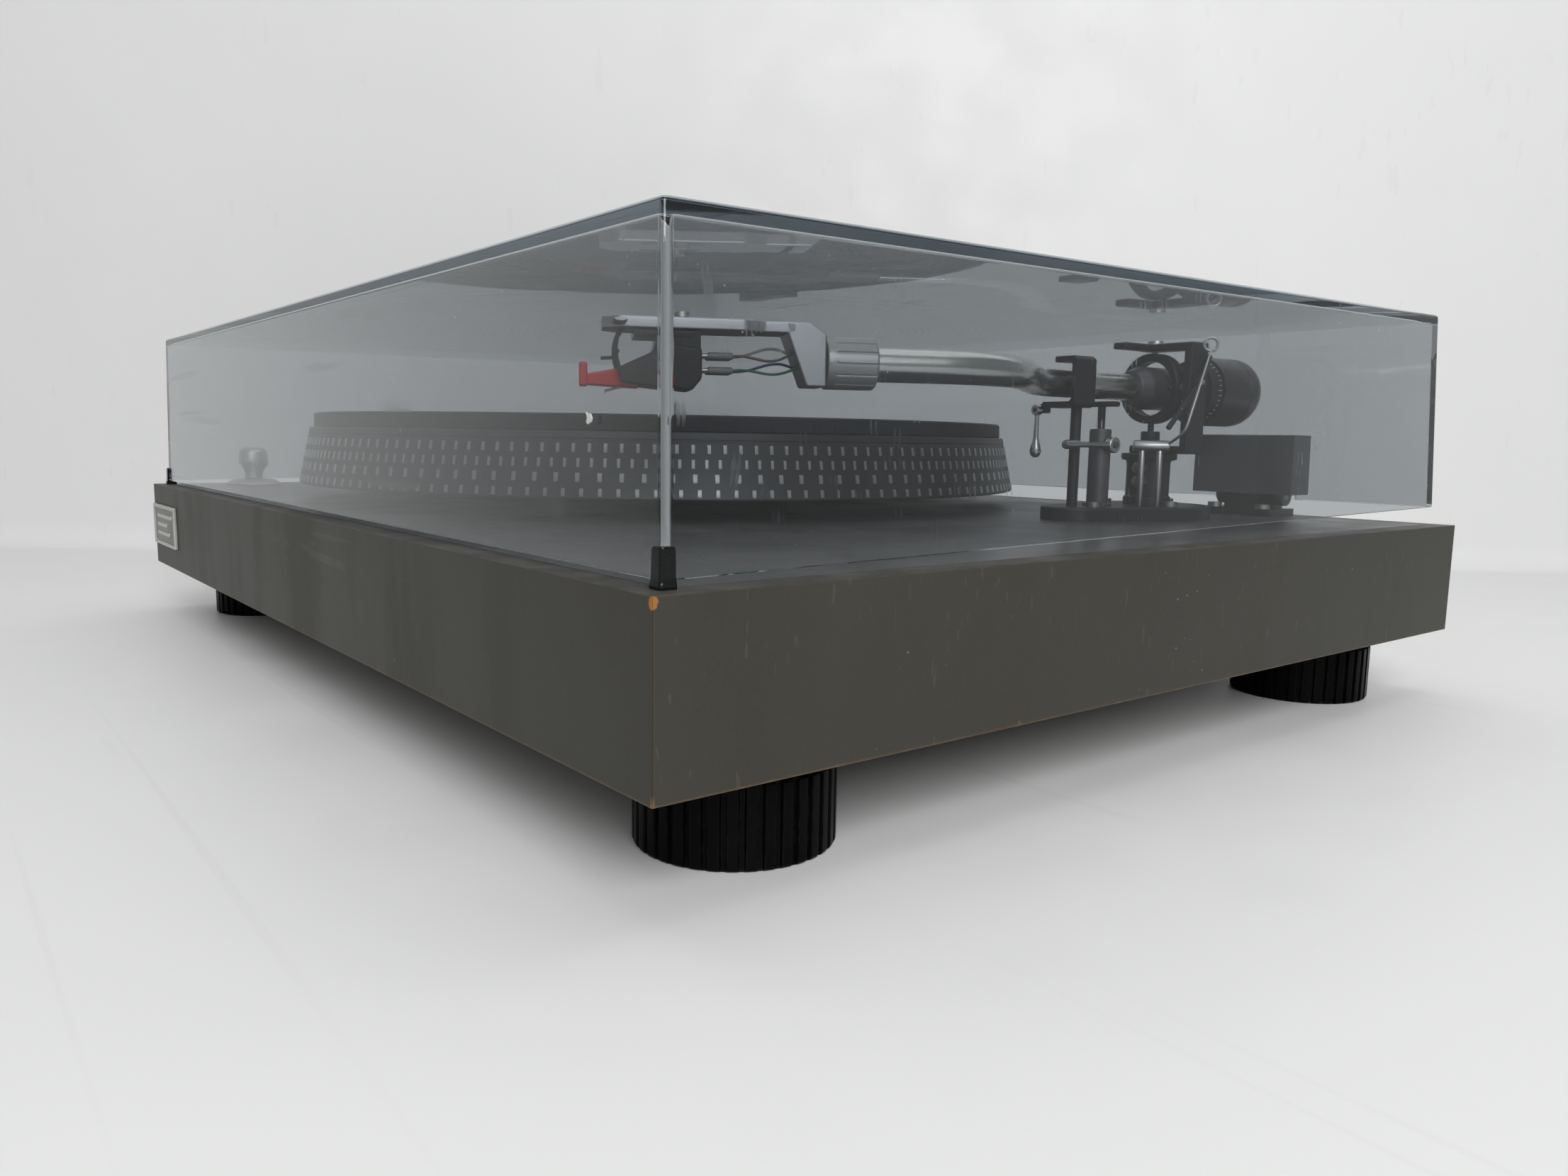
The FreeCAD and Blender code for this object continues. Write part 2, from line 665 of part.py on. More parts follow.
# ---------------------------------------------------------------- speed selector
escutcheon_height = 3.0
knob_low = deck_top + escutcheon_height + 0.4
nodes["speed_escutcheon"] = turned([
    (selector_shaft_radius + 1, deck_top), (selector_base_radius, deck_top),
    (selector_base_radius, deck_top + 1.0), (selector_base_radius - 3.5, deck_top + escutcheon_height),
    (selector_shaft_radius + 1, deck_top + escutcheon_height)], selector_x, selector_y)
knob = turned([(0, knob_low), (4.2, knob_low), (4.2, knob_low + 3), (7.0, knob_low + 8.0),
               (6.6, knob_low + 13.5), (5.2, knob_low + 15.5), (0, knob_low + 16.0)], selector_x,
               selector_y)
pointer = box(selector_x, selector_x + 8.6, selector_y - 1.2, selector_y + 1.2, knob_low + 6.5,
              knob_low + 11.0)
switch_low = deck_under - 16.0
knob = knob.fuse([pointer, disc(selector_x, selector_y, switch_low + 3, knob_low,
                                selector_shaft_radius - running_gap)])
nodes["speed_knob"] = knob.removeSplitter()
switch_radius = 10.0
switch_body = disc(selector_x, selector_y, switch_low, deck_under, switch_radius)
nodes["speed_switch"] = switch_body.cut(disc(selector_x, selector_y, switch_low + 2.8, deck_under + 1,
                                             selector_shaft_radius))

# ---------------------------------------------------------------- tonearm base, pillar and fixed bridge
base_low = -arm_height
base_high = base_low + arm_base_thickness
pillar_high = -arm_height + pillar_top
base = slot_plate(0, arm_base_radius, 42.0, arm_base_nose, base_low, base_high)
base = base.cut(disc(0, 0, base_low - 1, base_high + 1, pillar_radius))
for x, y in base_screws:
    base = base.cut(disc(x, y, base_low - 1, base_high + 1, small_shank))

pillar_low = base_low - deck_thickness - 6.0
pillar = turned([(0, pillar_low), (pillar_radius - 1.5, pillar_low), (pillar_radius - 1.5, base_low),
                 (pillar_radius, base_low), (pillar_radius, base_high + 3),
                 (pillar_radius - 0.8, base_high + 3.6),
                 (pillar_radius - 0.8, pillar_high - 3), (pillar_radius + 1.5, pillar_high - 2.4),
                 (pillar_radius + 1.5, pillar_high), (0, pillar_high)])
button_radius = 2.6
for height in (-36.0, -29.5):
    pillar = pillar.fuse(rod(V(4, 2, height), V(11.0, 3.5, height), button_radius))
nodes["arm_pillar"] = on_arm(pillar.removeSplitter())

bridge_side = ring_radius + 3.5
bridge_wall = 3.5
bridge_high = ring_radius + 3.3
bridge_thick = 2.6
bridge_half = 5.0
lower_cup = -ring_radius - 3.0
bridge = box(-bridge_half, bridge_half, bridge_side, bridge_side + bridge_wall, pillar_high, bridge_high)
bridge = bridge.fuse(box(-bridge_half, bridge_half, -6, bridge_side, pillar_high, pillar_high + 3))
bridge = bridge.fuse(box(-bridge_half, bridge_half, -4, bridge_side, bridge_high - bridge_thick,
                         bridge_high))
bridge = bridge.fuse(box(0, 21.0, -3.2, 3.2, bridge_high - bridge_thick, bridge_high))
bridge = bridge.fuse(disc(0, 0, pillar_high, lower_cup, 3.6))
pivot_pin = 1.2
bridge = bridge.fuse(disc(0, 0, lower_cup, -ring_radius + 1.0, pivot_pin))
bridge = bridge.fuse(disc(0, 0, ring_radius - 1.0, bridge_high, pivot_pin))
bridge = bridge.fuse(disc(0, 0, bridge_high, bridge_high + 1.6, 3.0))
nodes["arm_bridge"] = on_arm(bridge.removeSplitter())

# ---------------------------------------------------------------- gimbal
ring = Part.makeCylinder(ring_radius, ring_depth, V(-ring_depth / 2, 0, 0), RIGHT)
ring = ring.cut(Part.makeCylinder(ring_bore, ring_depth + 2, V(-ring_depth / 2 - 1, 0, 0), RIGHT))
ring = ring.cut(disc(0, 0, -ring_radius - 1, ring_radius + 1, pivot_pin + running_gap))
side_pin = 1.1
ring = ring.cut(rod(V(0, -ring_radius - 1, 0), V(0, ring_radius + 1, 0), side_pin))
nodes["gimbal_ring"] = on_arm(ring)
pin_inner = 5.6
pins = []
for side in (-1, 1):
    pin = rod(V(0, side * pin_inner, 0), V(0, side * ring_radius, 0), side_pin)
    pins.append(pin.fuse(rod(V(0, side * ring_radius, 0), V(0, side * (ring_radius + 1.0), 0), 2.0)))
nodes["gimbal_pivots"] = on_arm(group(pins))

# ---------------------------------------------------------------- arm housing, tube and collar
block_radius = 8.2
block_front = 14.0
block_rear = -12.0
stub_radius = 4.0
stub_end = weight_front - weight_length - 2.5
arm_block = lathe_along_x([(stub_end, 0), (stub_end, stub_radius), (block_rear - 3, stub_radius),
                           (block_rear, block_radius - 2), (block_rear + 2, block_radius),
                           (block_front - 5, block_radius), (block_front, tube_radius + 1.2),
                           (block_front, 0)])
arm_block = arm_block.cut(rod(V(4, 0, 0), V(block_front + 1, 0, 0), tube_radius))
arm_block = arm_block.cut(rod(V(0, -block_radius - 1, 0), V(0, -pin_inner + 0.3, 0),
                              side_pin + running_gap))
arm_block = arm_block.cut(rod(V(0, pin_inner - 0.3, 0), V(0, block_radius + 1, 0), side_pin + running_gap))
nodes["arm_housing"] = on_arm(arm_block)

tube_corner = collar_front.sub(V(shell_axis).multiply(front_tube_run))
tube_end = collar_front.sub(V(shell_axis).multiply(4.0))


def bend(before, corner, after, radius):
    """Start, middle and end of a round bend of the given radius at a corner."""
    into = before.sub(corner).normalize()
    out = after.sub(corner).normalize()
    half = into.getAngle(out) / 2
    run = radius / math.tan(half)
    middle = V(into).add(out).normalize()
    centre = corner.add(V(middle).multiply(radius / math.sin(half)))
    start = corner.add(V(into).multiply(run))
    end = corner.add(V(out).multiply(run))
    return start, centre.sub(V(middle).multiply(radius)), end


def arm_path():
    """The tube's centre line: straight, bend out, straight, bend in, straight."""
    start = V(4, 0, 0)
    corner = V(rear_corner, 0, 0)
    a0, a1, a2 = bend(start, corner, tube_corner, rear_bend)
    b0, b1, b2 = bend(corner, tube_corner, tube_end, front_bend)
    return Part.Wire([Part.LineSegment(start, a0).toShape(), Part.Arc(a0, a1, a2).toShape(),
                      Part.LineSegment(a2, b0).toShape(), Part.Arc(b0, b1, b2).toShape(),
                      Part.LineSegment(b2, tube_end).toShape()])


def tube_along(path, radius):
    """A round bar swept along the arm's centre line."""
    circle = Part.Wire(Part.Circle(V(4, 0, 0), RIGHT, radius).toShape())
    return path.makePipeShell([circle], True, True)


path = arm_path()
nodes["arm_tube"] = on_arm(tube_along(path, tube_radius).cut(tube_along(path, tube_radius - tube_wall)))

flute_count = 14
sleeve = lathe_along_x([(-collar_length, tube_radius + running_gap), (-collar_length, collar_radius - 0.8),
                        (-collar_length + 0.8, collar_radius), (-0.4, collar_radius),
                        (0, collar_radius - 0.4), (0, tube_radius + running_gap)])
for angle in spaced(flute_count):
    sleeve = sleeve.cut(Part.makeCylinder(0.5, collar_length - 2.5, V(-collar_length - 0.5,
                        (collar_radius + 0.1) * math.cos(angle),
                        (collar_radius + 0.1) * math.sin(angle)), RIGHT))
nodes["collar_nut"] = on_shell(sleeve)

# ---------------------------------------------------------------- headshell and cartridge
plate_high = plate_low + plate_thick
shell_gap = 0.3
plug_radius = tube_radius - tube_wall
neck_half = 6.6
neck_low = -7.0
neck_foot = 6.0
neck_top = 11.5
neck = side_prism([(shell_gap, neck_low), (neck_foot, neck_low), (neck_top, plate_low), (12.5, plate_high),
                   (5.0, plate_high), (shell_gap, plate_low)], -neck_half, neck_half)


def neck_face(z):
    """How far forward the neck's slanted front stands at a height."""
    return neck_foot + (neck_top - neck_foot) * (z - neck_low) / (plate_low - neck_low)


plug = Part.makeCylinder(plug_radius, 14.0 + shell_gap, V(-14.0, 0, 0), RIGHT)
plate_rear = 9.0
plate_front = 60.5
plate_half = 9.2
flat = prism([(plate_rear, -neck_half), (18, -neck_half), (24, -plate_half), (56, -plate_half),
              (plate_front, -5),
              (plate_front, 5), (56, plate_half), (24, plate_half), (18, neck_half),
              (plate_rear, neck_half)],
             plate_low, plate_high)
mount_slot_low = 34.0
mount_slot_high = 50.0
mount_half = 6.35
screw_shank = 1.2
for side in (-1, 1):
    flat = flat.cut(box(mount_slot_low, mount_slot_high, side * mount_half - screw_shank - 0.1,
                        side * mount_half + screw_shank + 0.1, plate_low - 1, plate_high + 1))
finger_reach = 13.0
lift_finger = box(54.0, 58.0, plate_half - 1, plate_half + finger_reach, plate_low + 0.5, plate_low + 1.7)
nodes["headshell"] = on_shell(neck.fuse([plug, flat, lift_finger]).removeSplitter())

cart_low = -9.0
cart_rear = 35.5
cart_half = 8.0
stylus_high = -2.0
cart = side_prism([(cart_rear, -5.5), (cart_rear + 3, cart_low), (55.5, cart_low + 1.5), (56.5, -3.0),
                   (47.0, 1.5), (46.0, plate_low), (cart_rear, plate_low)], -cart_half, cart_half)
mount_x = 41.0
for side in (-1, 1):
    cart = cart.cut(disc(mount_x, side * mount_half, plate_low - 5, plate_low + 1, screw_shank))
    arm_root = side * (cart_half - 1.6)
    low_y = min(arm_root, side * cart_half)
    high_y = max(arm_root, side * cart_half)
    cart = cart.fuse(side_prism([(55.0, -4.0), (56.2, -3.6), (57.2, 3.0), (56.4, plate_low),
                                 (55.0, plate_low),
                                 (55.9, 3.0)], low_y, high_y))
holder_rear = 50.0
holder_half = 4.2
holder_front = 64.5
holder_lip = 2.1
holder_pocket = box(holder_rear, 70, -holder_half, holder_half, cart_low - 2, stylus_high - 1.0)
cart = cart.cut(holder_pocket)
lead_places = [(-3.0, 1.0), (3.0, 1.0), (-3.0, -3.0), (3.0, -3.0)]
for y, z in lead_places:
    cart = cart.fuse(rod(V(cart_rear - 4, y, z), V(cart_rear, y, z), 0.6))
nodes["cartridge"] = on_shell(cart.removeSplitter())

holder = side_prism([(holder_rear, cart_low + 0.6), (holder_front, cart_low + 1.4), (holder_front, -4.6),
                     (56.0, stylus_high - 1.0), (holder_rear, stylus_high - 1.0)], -holder_half,
                     holder_half)
holder = holder.fuse(box(holder_front, holder_front + holder_lip, -holder_half - 0.8, holder_half + 0.8,
                         cart_low + 1.0, -1.6))
needle = rod(V(55.0, 0, cart_low + 1.2), V(stylus_reach - 0.4, 0, cart_low - 0.2), 0.35)
needle = needle.fuse(Part.makeCone(0.35, 0.1, 1.0, V(stylus_reach - 0.5, 0, cart_low), V(0, 0, -1)))
nodes["stylus_holder"] = on_shell(holder.fuse(needle).removeSplitter())


def cartridge_screw(side):
    """A small cheese-head screw down through the headshell's slot into the cartridge."""
    shank = disc(mount_x, side * mount_half, plate_low - 4.5, plate_high, screw_shank)
    return shank.fuse(disc(mount_x, side * mount_half, plate_high, plate_high + 1.4, 2.2))


nodes["cartridge_screws"] = on_shell(group([cartridge_screw(side) for side in (-1, 1)]))

lead_radius = 0.45
sleeve_radius = 1.0
sleeve_long = 7.0


def lead(index):
    """One lead, from a pin at the cartridge's back in two runs to the neck."""
    y, z = lead_places[index]
    start = V(cart_rear - 2.0, y, z)
    middle = V(cart_rear - 14.0, y * 0.8, z - 1.2)
    end_z = z + 1.4
    end = V(neck_face(end_z) + lead_radius, y * 0.9, end_z)
    body = Part.makeCylinder(sleeve_radius, sleeve_long, start, V(-1, 0, 0)).cut(
        Part.makeCylinder(0.6, 3.0, V(start.x + 0.5, y, z), V(-1, 0, 0)))
    rear = V(start.x - sleeve_long, y, z)
    return body.fuse([rod(rear, middle, lead_radius), Part.makeSphere(lead_radius, middle),
                      rod(middle, end, lead_radius)])


nodes["cartridge_leads"] = on_shell(group([lead(i) for i in range(4)]))

# ---------------------------------------------------------------- counterweight and dial
weight_rear = weight_front - weight_length
dome = 6.0
weight = lathe_along_x([(weight_front, stub_radius + running_gap), (weight_front, weight_radius - 0.6),
                        (weight_front - 0.6, weight_radius), (weight_rear + dome, weight_radius),
                        (weight_rear + dome * 0.45, weight_radius - 1.3),
                        (weight_rear + dome * 0.1, weight_radius - 3.8), (weight_rear, weight_radius - 6.0),
                        (weight_rear, stub_radius + running_gap)])
nodes["counterweight"] = on_arm(weight)
dial_rear = weight_front + free_gap
nodes["tracking_dial"] = on_arm(lathe_along_x([
    (dial_rear, stub_radius + running_gap), (dial_rear, weight_radius - 0.8),
    (dial_rear + dial_length, weight_radius - 2.2), (dial_rear + dial_length, stub_radius + running_gap)]))

# ---------------------------------------------------------------- cueing lift
guide_radius = 4.0
guide_top = -16.0
plunger_radius = 1.5
lever_z = -22.0
guide = disc(lift_reach, 0, base_high, guide_top, guide_radius)
guide_floor = base_high + 3.0
lever_pin = 1.2
guide = guide.fuse(rod(V(lift_reach, guide_radius - 0.5, lever_z),
                       V(lift_reach, guide_radius + 4.0, lever_z),
                       lever_pin))
guide = guide.cut(disc(lift_reach, 0, guide_floor, guide_top + 1, plunger_radius))
nodes["lift_guide"] = on_arm(guide)
lift_top = -tube_radius - lift_gap
lift_bar = 2.0
plunger_low = guide_floor + lift_travel + 1.0
platform = disc(lift_reach, 0, plunger_low, lift_top - lift_bar, plunger_radius - running_gap)
bar_wide = 2.2
bar_inward = -24.0
bar_outward = 7.0
platform = platform.fuse(box(lift_reach - bar_wide, lift_reach + bar_wide, bar_inward, bar_outward,
                             lift_top - lift_bar, lift_top))
platform_edges = [e for e in platform.Edges if e.BoundBox.YLength > 20 and abs(e.BoundBox.ZMax - lift_top) < 0.01]
nodes["lift_platform"] = on_arm(platform.makeFillet(0.8, platform_edges))
lever_y0 = guide_radius + 0.4
lever_y1 = guide_radius + 3.4
lever_mid = (lever_y0 + lever_y1) / 2
lever_long = 26.0
lever_grip = 7.0
lever = rod(V(lift_reach, lever_y0, lever_z), V(lift_reach, lever_y1, lever_z), 3.0)
lever = lever.fuse(rod(V(lift_reach, lever_mid, lever_z),
                       V(lift_reach + lever_long - 3, lever_mid, lever_z), 1.1))
lever = lever.fuse(rod(V(lift_reach + lever_long - lever_grip, lever_mid, lever_z),
                       V(lift_reach + lever_long, lever_mid, lever_z), 1.7))
lever = lever.cut(rod(V(lift_reach, lever_y0 - 1, lever_z), V(lift_reach, lever_y1 + 1, lever_z),
                      lever_pin + running_gap))
nodes["lift_lever"] = on_arm(lever)

# ---------------------------------------------------------------- arm rest and its latch
rest_post_x = rest_reach - 5.0
rest_low = -tube_radius - pitch_drop
rest_high = tube_radius + pitch_rise
rest_wall = 2.2
rest_outer = tube_radius + 1.6
clip_front = rest_reach + rest_length / 2
clip_rear = rest_reach - rest_length / 2
lip_low = -7.0
lip_high = -1.5
clip = box(clip_rear, clip_front, lip_low, rest_outer + rest_wall, rest_low - rest_wall, rest_low)
clip = clip.fuse(box(clip_rear, clip_front, rest_outer, rest_outer + rest_wall, rest_low - rest_wall,
                     rest_high + rest_wall))
clip = clip.fuse(box(clip_rear, clip_front, lip_high, rest_outer + rest_wall, rest_high,
                     rest_high + rest_wall))
post_radius = 2.0
clip = clip.fuse(disc(rest_post_x, 0.5, base_high, rest_low - rest_wall / 2, post_radius))
clip = clip.fuse(box(clip_front - 3, clip_front, lip_low - 1.4, lip_low + 2, rest_low - 4.2,
                     rest_low - 1.0))
latch_y = lip_low - 0.2
latch_z = rest_low - 3.0
latch_pin = 0.8
clip = clip.fuse(rod(V(clip_front, latch_y, latch_z), V(clip_front + 3.4, latch_y, latch_z), latch_pin))
nodes["arm_rest"] = on_arm(clip.removeSplitter())
latch_x = clip_front + 1.9
latch_length = 17.0
latch = rod(V(latch_x - 1.2, latch_y, latch_z), V(latch_x + 1.2, latch_y, latch_z), 2.0)
latch = latch.fuse(rod(V(latch_x, latch_y, latch_z - 0.5),
                       V(latch_x, latch_y, latch_z - latch_length + 2), 0.9))
latch = latch.fuse(Part.makeCone(2.1, 0.9, 5.0, V(latch_x, latch_y, latch_z - latch_length + 1.5), UP))
latch = latch.fuse(Part.makeSphere(2.1, V(latch_x, latch_y, latch_z - latch_length + 1.5)))
latch = latch.cut(rod(V(latch_x - 4, latch_y, latch_z), V(latch_x + 4, latch_y, latch_z),
                      latch_pin + running_gap))
nodes["rest_latch"] = on_arm(latch)

# ---------------------------------------------------------------- bias wire on its bracket, and bias lever
bracket_x = 15.0
bracket_y = 12.5
bracket_low = base_high
bracket_high = -20.0
bracket_bar = 4.2
leg_radius = 1.1
bracket_half = 6.5
lean = math.radians(135.0)
along = V(math.cos(lean), math.sin(lean), 0)


def beside(distance, z):
    """A point on the line of the bias bracket."""
    return V(bracket_x + distance * along.x, bracket_y + distance * along.y, z)


bracket = rod(beside(-bracket_half, bracket_high - bracket_bar / 2),
              beside(bracket_half, bracket_high - bracket_bar / 2),
              bracket_bar / 2)
for distance in (-3.2, 3.2):
    bracket = bracket.fuse(rod(beside(distance, bracket_low),
                               beside(distance, bracket_high - bracket_bar / 2),
                               leg_radius))
wire_radius = 0.6
wire_foot = beside(bracket_half - 1.5, bracket_high - bracket_bar / 2)
wire_knee = V(13.0, 25.5, -17.0)
wire_top = V(3.0, 27.0, 13.0)
bracket = bracket.fuse([rod(wire_foot, wire_knee, wire_radius), Part.makeSphere(wire_radius, wire_knee),
                        rod(wire_knee, wire_top, wire_radius)])
eyelet = 2.4
eye = Part.makeTorus(eyelet, wire_radius, V(wire_top.x, wire_top.y, wire_top.z + eyelet), V(1, 1, 0))
nodes["bias_guide"] = on_arm(bracket.fuse(eye))

swing_x = 1.0
swing_z = 2.0
swing_y = bridge_side + bridge_wall
swing_pin = 1.2
nodes["arm_bridge"] = nodes["arm_bridge"].fuse(on_arm(rod(V(swing_x, swing_y - 1, swing_z),
                                                          V(swing_x, swing_y + 2.6, swing_z), swing_pin)))
bias_long = 18.0
low_tip = V(swing_x + bias_long * 0.95, swing_y + 1.4, swing_z - bias_long * 0.98)
high_tip = V(swing_x - bias_long * 0.26, swing_y + 1.4, swing_z + bias_long * 0.55)
bias = rod(V(swing_x, swing_y + 0.4, swing_z), V(swing_x, swing_y + 2.4, swing_z), 3.0)
bias = bias.fuse(rod(low_tip, V(swing_x, swing_y + 1.4, swing_z), 1.0))
bias = bias.fuse(rod(V(swing_x, swing_y + 1.4, swing_z), high_tip, 1.0))
bias = bias.cut(rod(V(swing_x, swing_y, swing_z), V(swing_x, swing_y + 4, swing_z),
                    swing_pin + running_gap))
nodes["bias_lever"] = on_arm(bias)

nodes["arm_base"] = on_arm(base)

# ---------------------------------------------------------------- small screws, all of one size
deck_screws = [screw(x, y, deck_top, 6.5, small_shank, small_head, small_head_height)
               for x, y in bearing_screws + motor_screws]
plate_screws = [screw(x, y, deck_top + arm_base_thickness, deck_thickness + arm_base_thickness + 1.0,
                      small_shank, small_head, small_head_height) for x, y in arm_screws]
foot_screws = [screw(x, y, deck_top + hinge_foot_thickness, deck_thickness + hinge_foot_thickness + 1.0,
                     small_shank, small_head, small_head_height) for x, y in hinge_screws]
nodes["small_screws"] = group(deck_screws + plate_screws + foot_screws)

# ---------------------------------------------------------------- dust cover
lid_low = deck_top + lid_front_gap
lid_high = lid_low + lid_height
lid_x = half_width - lid_inset_side
lid_y0 = -half_depth + lid_inset_front
lid_y1 = half_depth - lid_inset_rear


def drafted(shrink, z0, z1):
    """The cover's tapering block, drawn in by a set wall."""
    def ring_at(z):
        draft = lid_draft * (z - lid_low) / lid_height + shrink
        corners = [V(-lid_x + draft, lid_y0 + draft, z), V(lid_x - draft, lid_y0 + draft, z),
                   V(lid_x - draft, lid_y1 - draft, z), V(-lid_x + draft, lid_y1 - draft, z)]
        return Part.makePolygon(corners + corners[:1])
    return Part.makeLoft([ring_at(z0), ring_at(z1)], True, True)


shell = drafted(0.0, lid_low, lid_high)
long_edges = [e for e in shell.Edges if e.BoundBox.ZMax > lid_high - 0.1]
shell = shell.makeFillet(1.2, long_edges)
hollow = drafted(lid_wall, lid_low - 1, lid_high - lid_wall)
axis_z = deck_top + hinge_z
cover_shell = on_lid(shell.cut(hollow))
notch_high = axis_z + hinge_ear_radius + 1.0
for side in (-1, 1):
    notch_mid = side * hinge_x
    notch_half = hinge_foot_width / 2
    cover_shell = cover_shell.cut(box(notch_mid - notch_half, notch_mid + notch_half, hinge_y, half_depth,
                                      deck_top, notch_high))
nodes["dust_cover"] = cover_shell

# ---------------------------------------------------------------- lid corner bumpers
bumper_gap = 0.15
bumper_reach = 3.8
bumper_flare = 1.2


def bumper(side):
    """An angle of soft plastic round a front lower corner of the cover, flared where it stands on the deck."""
    x_in = side * (lid_x - bumper_reach)
    x_wall = side * (lid_x + bumper_wall)
    x_flare = side * (lid_x + bumper_wall + bumper_flare)
    y_in = lid_y0 + bumper_reach
    y_wall = lid_y0 - bumper_wall
    body = box(min(x_in, x_wall), max(x_in, x_wall), y_wall, y_in, deck_top, lid_low + bumper_height)
    return body.fuse(box(min(x_in, x_flare), max(x_in, x_flare), y_wall - bumper_flare, y_in, deck_top,
                         lid_low - bumper_gap))


cover_room = on_lid(drafted(-bumper_gap, lid_low, lid_high))
bumper_hollow = on_lid(drafted(lid_wall + bumper_gap, lid_low - lid_wall, lid_high))
nodes["lid_bumpers"] = group([bumper(side).cut(cover_room).cut(bumper_hollow) for side in (-1, 1)])

# ---------------------------------------------------------------- hinges
cap_low = deck_top + hinge_cap_low
cap_high = cap_low + hinge_cap_height
cap_front = hinge_y - hinge_cap_reach
cap_wall = 2.5
ear_gap = 0.3
ear_width = 3.0
ear_inner = hinge_knuckle_half + ear_gap
ear_outer = ear_inner + ear_width
cover_inside = on_lid(drafted(lid_wall, lid_low - lid_wall, lid_high - lid_wall))


def hinge_cap(x):
    """A box against the cover's rear wall with two ears that hold the pin on either side of the knuckle."""
    half = hinge_cap_width / 2
    block = box(x - half, x + half, cap_front, half_depth, cap_low, cap_high).common(cover_inside)
    room = box(x - ear_inner, x + ear_inner, cap_front + cap_wall, half_depth, cap_low - 1,
               axis_z + hinge_knuckle_radius + 1.0)
    cap = block.cut(room)
    for near, far in ((-ear_outer, -ear_inner), (ear_inner, ear_outer)):
        ear = rod(V(x + near, hinge_y, axis_z), V(x + far, hinge_y, axis_z), hinge_ear_radius)
        neck_box = box(x + near, x + far, hinge_y - hinge_ear_radius, hinge_y, axis_z, cap_low + 2.0)
        cap = cap.fuse([ear, neck_box])
    return cap.cut(hinge_pin(x)).removeSplitter()


def hinge_pin(x):
    """The steel pin through both ears and the knuckle."""
    return rod(V(x - ear_outer, hinge_y, axis_z), V(x + ear_outer, hinge_y, axis_z), hinge_pin_radius)


def hinge_bracket(x):
    """The fixed half: a foot plate on the deck, a web and a bored knuckle."""
    foot_half = hinge_foot_width / 2
    foot_plate = box(x - foot_half, x + foot_half, hinge_y - 15.5, hinge_y + hinge_ear_radius, deck_top,
                     deck_top + hinge_foot_thickness)
    inner = hinge_knuckle_half
    web = box(x - inner, x + inner, hinge_y - hinge_knuckle_radius, hinge_y + hinge_knuckle_radius,
              deck_top,
              axis_z)
    barrel = rod(V(x - inner, hinge_y, axis_z), V(x + inner, hinge_y, axis_z), hinge_knuckle_radius)
    bracket_piece = foot_plate.fuse([web, barrel]).removeSplitter()
    bracket_piece = bracket_piece.cut(rod(V(x - inner - 1, hinge_y, axis_z),
                                          V(x + inner + 1, hinge_y, axis_z),
                                          hinge_pin_radius + running_gap))
    for screw_x, screw_y in hinge_screws:
        bracket_piece = bracket_piece.cut(disc(screw_x, screw_y, deck_top - 1,
                                               deck_top + hinge_foot_thickness + 1, small_shank))
    return bracket_piece


hinge_places = (-hinge_x, hinge_x)
nodes["hinge_caps"] = group([hinge_cap(x) for x in hinge_places])
nodes["hinge_pins"] = group([hinge_pin(x) for x in hinge_places])
nodes["hinge_brackets"] = group([hinge_bracket(x) for x in hinge_places])

# ---------------------------------------------------------------- write one STEP per node
os.makedirs("parts", exist_ok=True)
for name, shape in nodes.items():
    shape.exportStep("parts/" + name + ".step")
    print(name, len(shape.Solids), round(shape.Volume, 1))
print(len(nodes), "nodes")
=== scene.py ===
"""Looks of the turntable record player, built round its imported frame."""

import logging
import math
from dataclasses import dataclass
from enum import Enum

import bmesh
import bpy
from mathutils import Matrix, Vector


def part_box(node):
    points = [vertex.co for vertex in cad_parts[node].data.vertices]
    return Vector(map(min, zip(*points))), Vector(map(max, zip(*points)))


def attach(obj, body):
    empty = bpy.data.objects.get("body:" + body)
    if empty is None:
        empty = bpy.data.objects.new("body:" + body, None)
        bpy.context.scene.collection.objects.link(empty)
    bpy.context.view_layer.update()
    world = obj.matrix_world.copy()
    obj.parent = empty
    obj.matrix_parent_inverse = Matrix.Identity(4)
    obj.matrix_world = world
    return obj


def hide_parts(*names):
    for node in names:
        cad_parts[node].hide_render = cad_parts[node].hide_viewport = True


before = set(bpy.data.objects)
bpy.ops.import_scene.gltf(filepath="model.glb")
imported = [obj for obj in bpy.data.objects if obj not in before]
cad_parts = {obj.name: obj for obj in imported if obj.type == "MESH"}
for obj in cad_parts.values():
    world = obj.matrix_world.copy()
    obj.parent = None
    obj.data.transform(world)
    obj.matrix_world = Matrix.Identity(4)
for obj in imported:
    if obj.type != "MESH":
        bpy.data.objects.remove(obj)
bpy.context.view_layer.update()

LOG = logging.getLogger("turntable")
MM = 0.001
Colour = tuple[float, float, float]
Point = tuple[float, float]


class Streak(Enum):
    """How a machined or brushed surface's marks run."""

    NONE = "none"
    BRUSHED = "brushed"
    TURNED = "turned"


